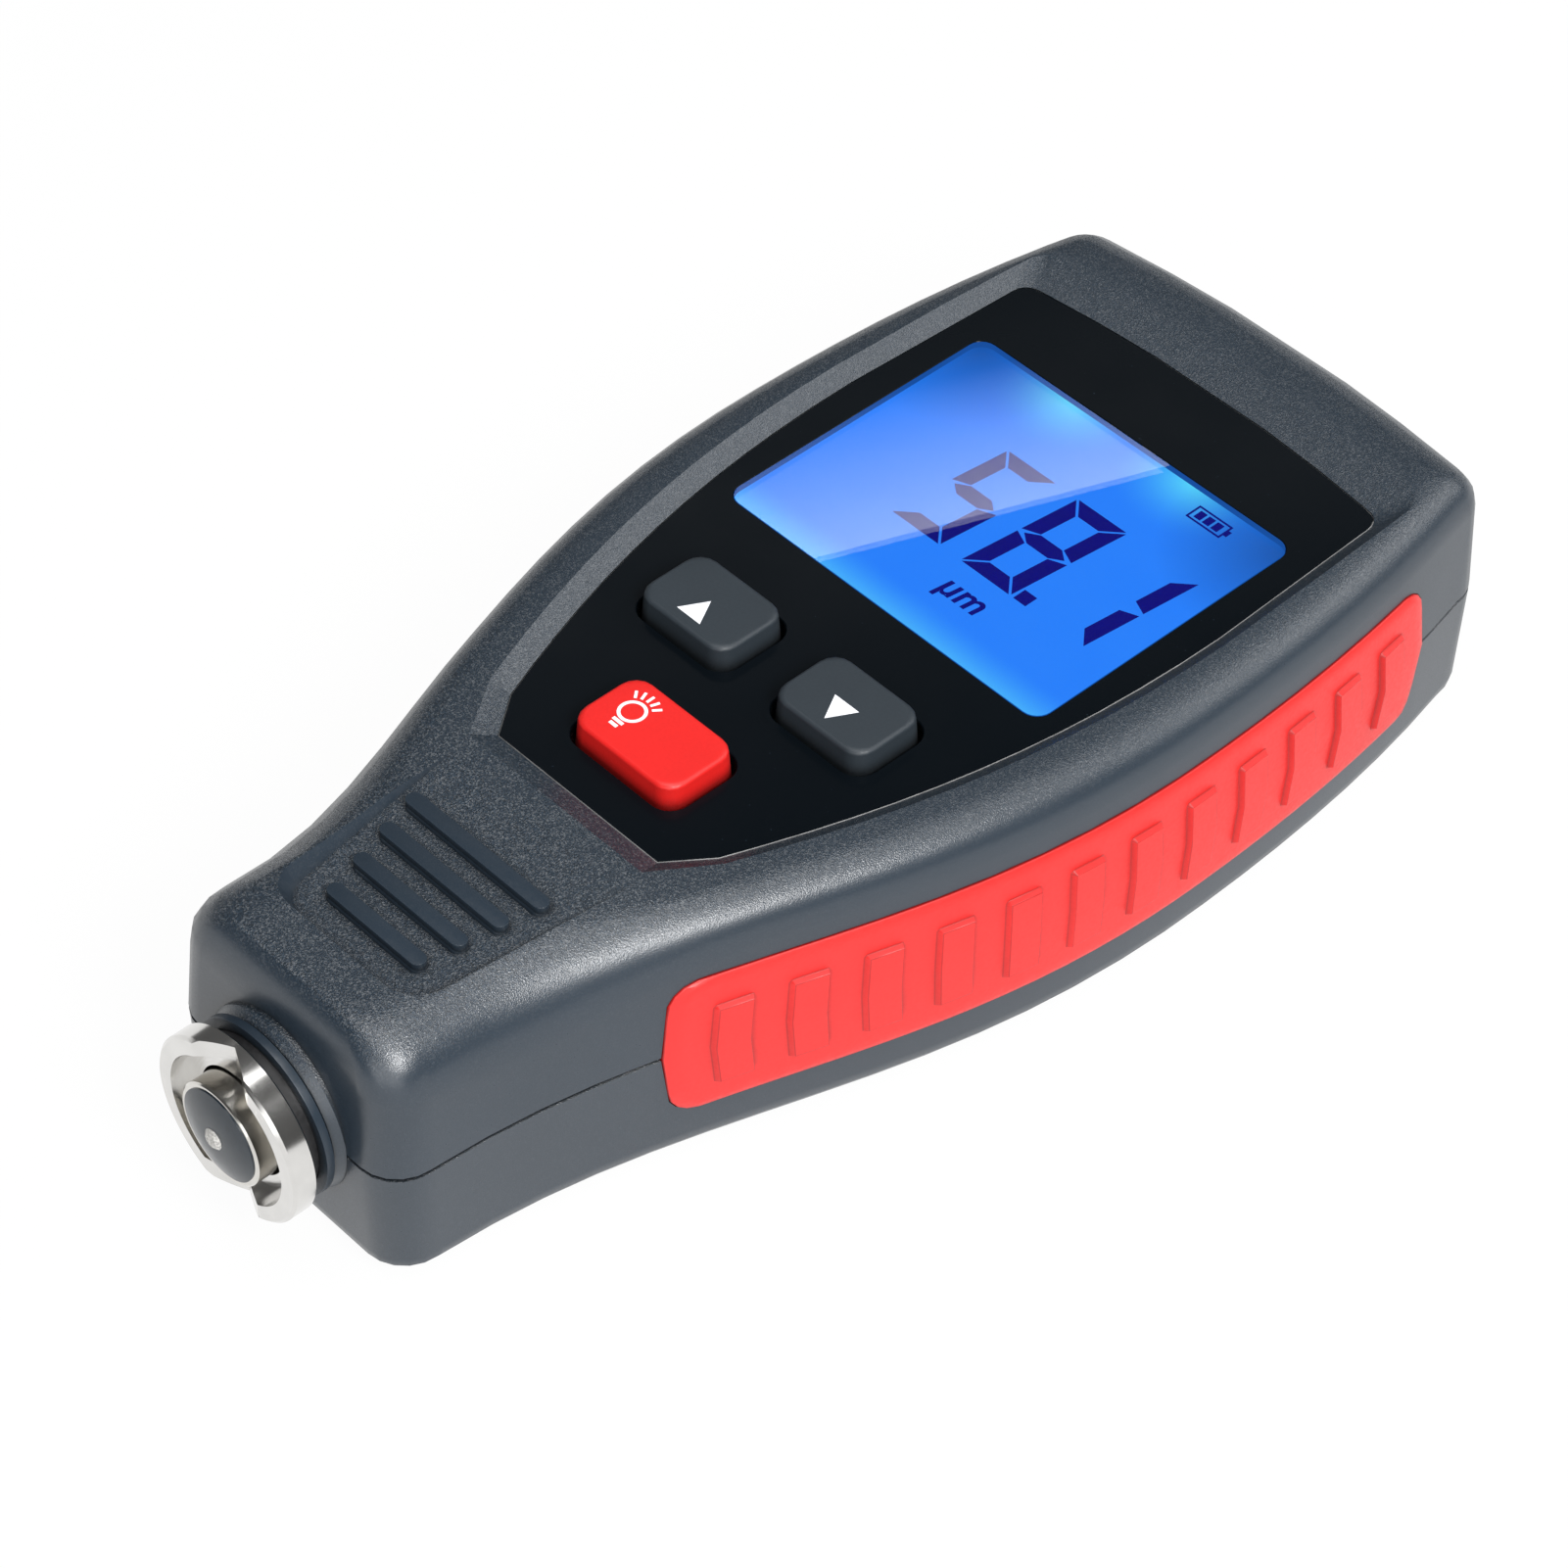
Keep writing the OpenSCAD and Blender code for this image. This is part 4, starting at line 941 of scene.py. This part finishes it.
class GAUGE_OT_inside(bpy.types.Operator):
    """Finishes the board, the display module, the cells and the screws"""

    bl_idname = "gauge.inside"
    bl_label = "Inside"

    def execute(self, context):
        white = plain_finish("light_guide", (0.80, 0.82, 0.84), 0.35, contrast=0.05)
        black = plain_finish("black_moulding", (0.015, 0.015, 0.016), 0.45)
        steel = plain_finish("screw_steel", (0.46, 0.46, 0.47), 0.3, metal=1.0, grain=4000)
        nickel = plain_finish("contact_nickel", (0.66, 0.65, 0.62), 0.2, metal=1.0, grain=900)
        strip = plain_finish("contact_strip", (0.55, 0.25, 0.30), 0.6)
        sleeve = cell_sleeve()
        finishes = {
            "lcd_backlight": white, "lcd_frame": white, "lcd_connector": strip,
            "main_board": board_lacquer(), "key_switches": black, "processor_chip": black,
            "battery_cell_left": sleeve, "battery_cell_right": sleeve,
            "battery_springs": nickel, "battery_plates": nickel,
            "housing_screws": steel, "board_screws": steel,
        }
        for name, material in finishes.items():
            skin(name, material, TURNED_CREASE)
        return {"FINISHED"}


class GAUGE_OT_stage(bpy.types.Operator):
    """Sets up the camera, the floor, the sky and the lamps"""

    bl_idname = "gauge.stage"
    bl_label = "Stage"

    CAMERA_PLACE = (0.211659, -0.203630, 0.308520)
    CAMERA_RIGHT = (0.68314, 0.73018, 0.01219)
    CAMERA_UP = (-0.52605, 0.48044, 0.70175)
    SENSOR_W, CLIP_START = 36.0, 0.01
    FLOOR_SIZE, FLOOR_Z = 8.0, -0.05 * MM
    FLOOR_COLOUR = (0.82, 0.82, 0.82, 1)
    LAMP_TARGET = (0, 0, 0.012)
    # Name, place, size and power of each soft lamp
    LAMPS = (
        ("side_lamp", (0.51, -0.13, 0.51), (0.24, 0.24), 4.6),
        ("fill_lamp", (0.42, -0.46, 0.26), (0.7, 0.5), 2.2),
        ("rear_lamp", (0.30, 0.50, 0.42), (0.5, 0.4), 1.8),
        ("top_lamp", (0.06, -0.06, 0.75), (0.5, 0.5), 3.0),
    )
    WINDOW_W, WINDOW_L, WINDOW_POWER = 0.036, 0.5, 0.17
    WINDOW_EDGE, WINDOW_ALONG = (-0.21545, 0.2542, 0.3085), 0.1
    WINDOW_TURN = math.radians(-21.5)

    def execute(self, context):
        stage = context.scene.gauge_stage
        context.scene.view_settings.view_transform = "Standard"
        self.camera(context, stage)
        self.floor(stage)
        self.sky(context, stage)
        for name, place, size, power in self.LAMPS:
            self.lamp(context, name, place, self.LAMP_TARGET, size, power)
        self.window(context)
        return {"FINISHED"}

    def camera(self, context, stage):
        """A camera at the photograph's viewpoint."""
        right, up = Vector(self.CAMERA_RIGHT).normalized(), Vector(self.CAMERA_UP).normalized()
        back = right.cross(up)
        data = bpy.data.cameras.new("camera")
        data.lens = stage.lens
        data.sensor_width = self.SENSOR_W
        data.clip_start = self.CLIP_START
        eye = bpy.data.objects.new("camera", data)
        context.collection.objects.link(eye)
        turn = Matrix((right, up, back)).transposed()
        eye.matrix_world = Matrix.Translation(self.CAMERA_PLACE) @ turn.to_4x4()
        context.scene.camera = eye

    def lamp(self, context, name, place, target, size, power):
        """A rectangular soft lamp that faces a point."""
        data = bpy.data.lights.new(name, "AREA")
        data.shape = "RECTANGLE"
        data.size, data.size_y = size
        data.energy = power
        made = bpy.data.objects.new(name, data)
        context.collection.objects.link(made)
        made.location = place
        made.rotation_euler = (Vector(target) - Vector(place)).to_track_quat("-Z", "Y").to_euler()
        return made

    def window(self, context):
        """A level lamp whose near edge shows on the lens and which fades away from that edge."""
        inwards = Vector((-self.WINDOW_W / 2, self.WINDOW_ALONG, 0))
        place = Vector(self.WINDOW_EDGE) + Matrix.Rotation(self.WINDOW_TURN, 3, "Z") @ inwards
        below, size = place - Vector((0, 0, 1)), (self.WINDOW_W, self.WINDOW_L)
        made = self.lamp(context, "window_lamp", place, below, size, self.WINDOW_POWER)
        made.rotation_euler = (0, 0, self.WINDOW_TURN)
        made.data.use_nodes = True
        nodes, links = made.data.node_tree.nodes, made.data.node_tree.links
        across = nodes.new("ShaderNodeSeparateXYZ")
        links.new(nodes.new("ShaderNodeNewGeometry").outputs["Parametric"], across.inputs[0])
        links.new(across.outputs["X"], nodes["Emission"].inputs["Strength"])

    def floor(self, stage):
        """A wide pale floor, white to the camera except in shadow."""
        bpy.ops.object.select_all(action="DESELECT")
        bpy.ops.mesh.primitive_plane_add(size=self.FLOOR_SIZE)
        ground = bpy.context.object
        ground.name = "floor"
        ground.location.z = self.FLOOR_Z
        material = bpy.data.materials.new("pale_floor")
        material.use_nodes = True
        material.node_tree.nodes.clear()
        paint = add(material, "ShaderNodeBsdfDiffuse", {"Color": self.FLOOR_COLOUR})
        white = add(material, "ShaderNodeEmission", {"Color": (1, 1, 1, 1), "Strength": 1.0})
        path = add(material, "ShaderNodeLightPath").outputs
        seen = math_node(material, "MAXIMUM", path["Is Camera Ray"], path["Is Glossy Ray"])
        seen = math_node(material, "MAXIMUM", seen, path["Is Transmission Ray"])
        share = product(material, seen, stage.floor)
        mixed = add(
            material, "ShaderNodeMixShader", {0: share, 1: paint.outputs[0], 2: white.outputs[0]}
        )
        add(material, "ShaderNodeOutputMaterial", {"Surface": mixed.outputs[0]})
        ground.data.materials.append(material)

    def sky(self, context, stage):
        """An even sky, white where the camera sees it."""
        world = bpy.data.worlds.new("sky")
        world.use_nodes = True
        world.node_tree.nodes.clear()
        light = add(world, "ShaderNodeBackground", {"Strength": stage.world})
        white = add(world, "ShaderNodeBackground", {"Color": (1, 1, 1, 1)})
        seen = add(world, "ShaderNodeLightPath").outputs["Is Camera Ray"]
        mixed = add(
            world, "ShaderNodeMixShader", {0: seen, 1: light.outputs[0], 2: white.outputs[0]}
        )
        add(world, "ShaderNodeOutputWorld", {"Surface": mixed.outputs[0]})
        context.scene.world = world


class GAUGE_PT_panel(bpy.types.Panel):
    """Lists the steps that finish the gauge"""

    bl_label = "Coating thickness gauge"
    bl_idname = "GAUGE_PT_panel"
    bl_space_type = "VIEW_3D"
    bl_region_type = "UI"
    bl_category = "Gauge"

    def draw(self, context):
        for operator in OPERATORS:
            self.layout.operator(operator.bl_idname)


GROUPS = {
    "gauge_colours": GaugeColours,
    "gauge_housing": GaugeHousing,
    "gauge_prints": GaugePrints,
    "gauge_stage": GaugeStage,
}
OPERATORS = (
    GAUGE_OT_stage,
    GAUGE_OT_housing,
    GAUGE_OT_grips,
    GAUGE_OT_panel,
    GAUGE_OT_display,
    GAUGE_OT_keys,
    GAUGE_OT_probe,
    GAUGE_OT_inside,
)


def register():
    """Registers the classes and puts the settings on the scene."""
    for made in (*GROUPS.values(), *OPERATORS, GAUGE_PT_panel):
        bpy.utils.register_class(made)
    for name, group in GROUPS.items():
        setattr(bpy.types.Scene, name, bpy.props.PointerProperty(type=group))


def unregister():
    """Takes the settings and the classes away again."""
    for name in GROUPS:
        delattr(bpy.types.Scene, name)
    for made in (GAUGE_PT_panel, *reversed(OPERATORS), *GROUPS.values()):
        bpy.utils.unregister_class(made)


def main():
    """Builds the stage and every finish."""
    register()
    bpy.ops.gauge.stage()
    bpy.ops.gauge.housing()
    bpy.ops.gauge.grips()
    bpy.ops.gauge.panel()
    bpy.ops.gauge.display()
    bpy.ops.gauge.keys()
    bpy.ops.gauge.probe()
    bpy.ops.gauge.inside()


if __name__ == "__main__":
    main()
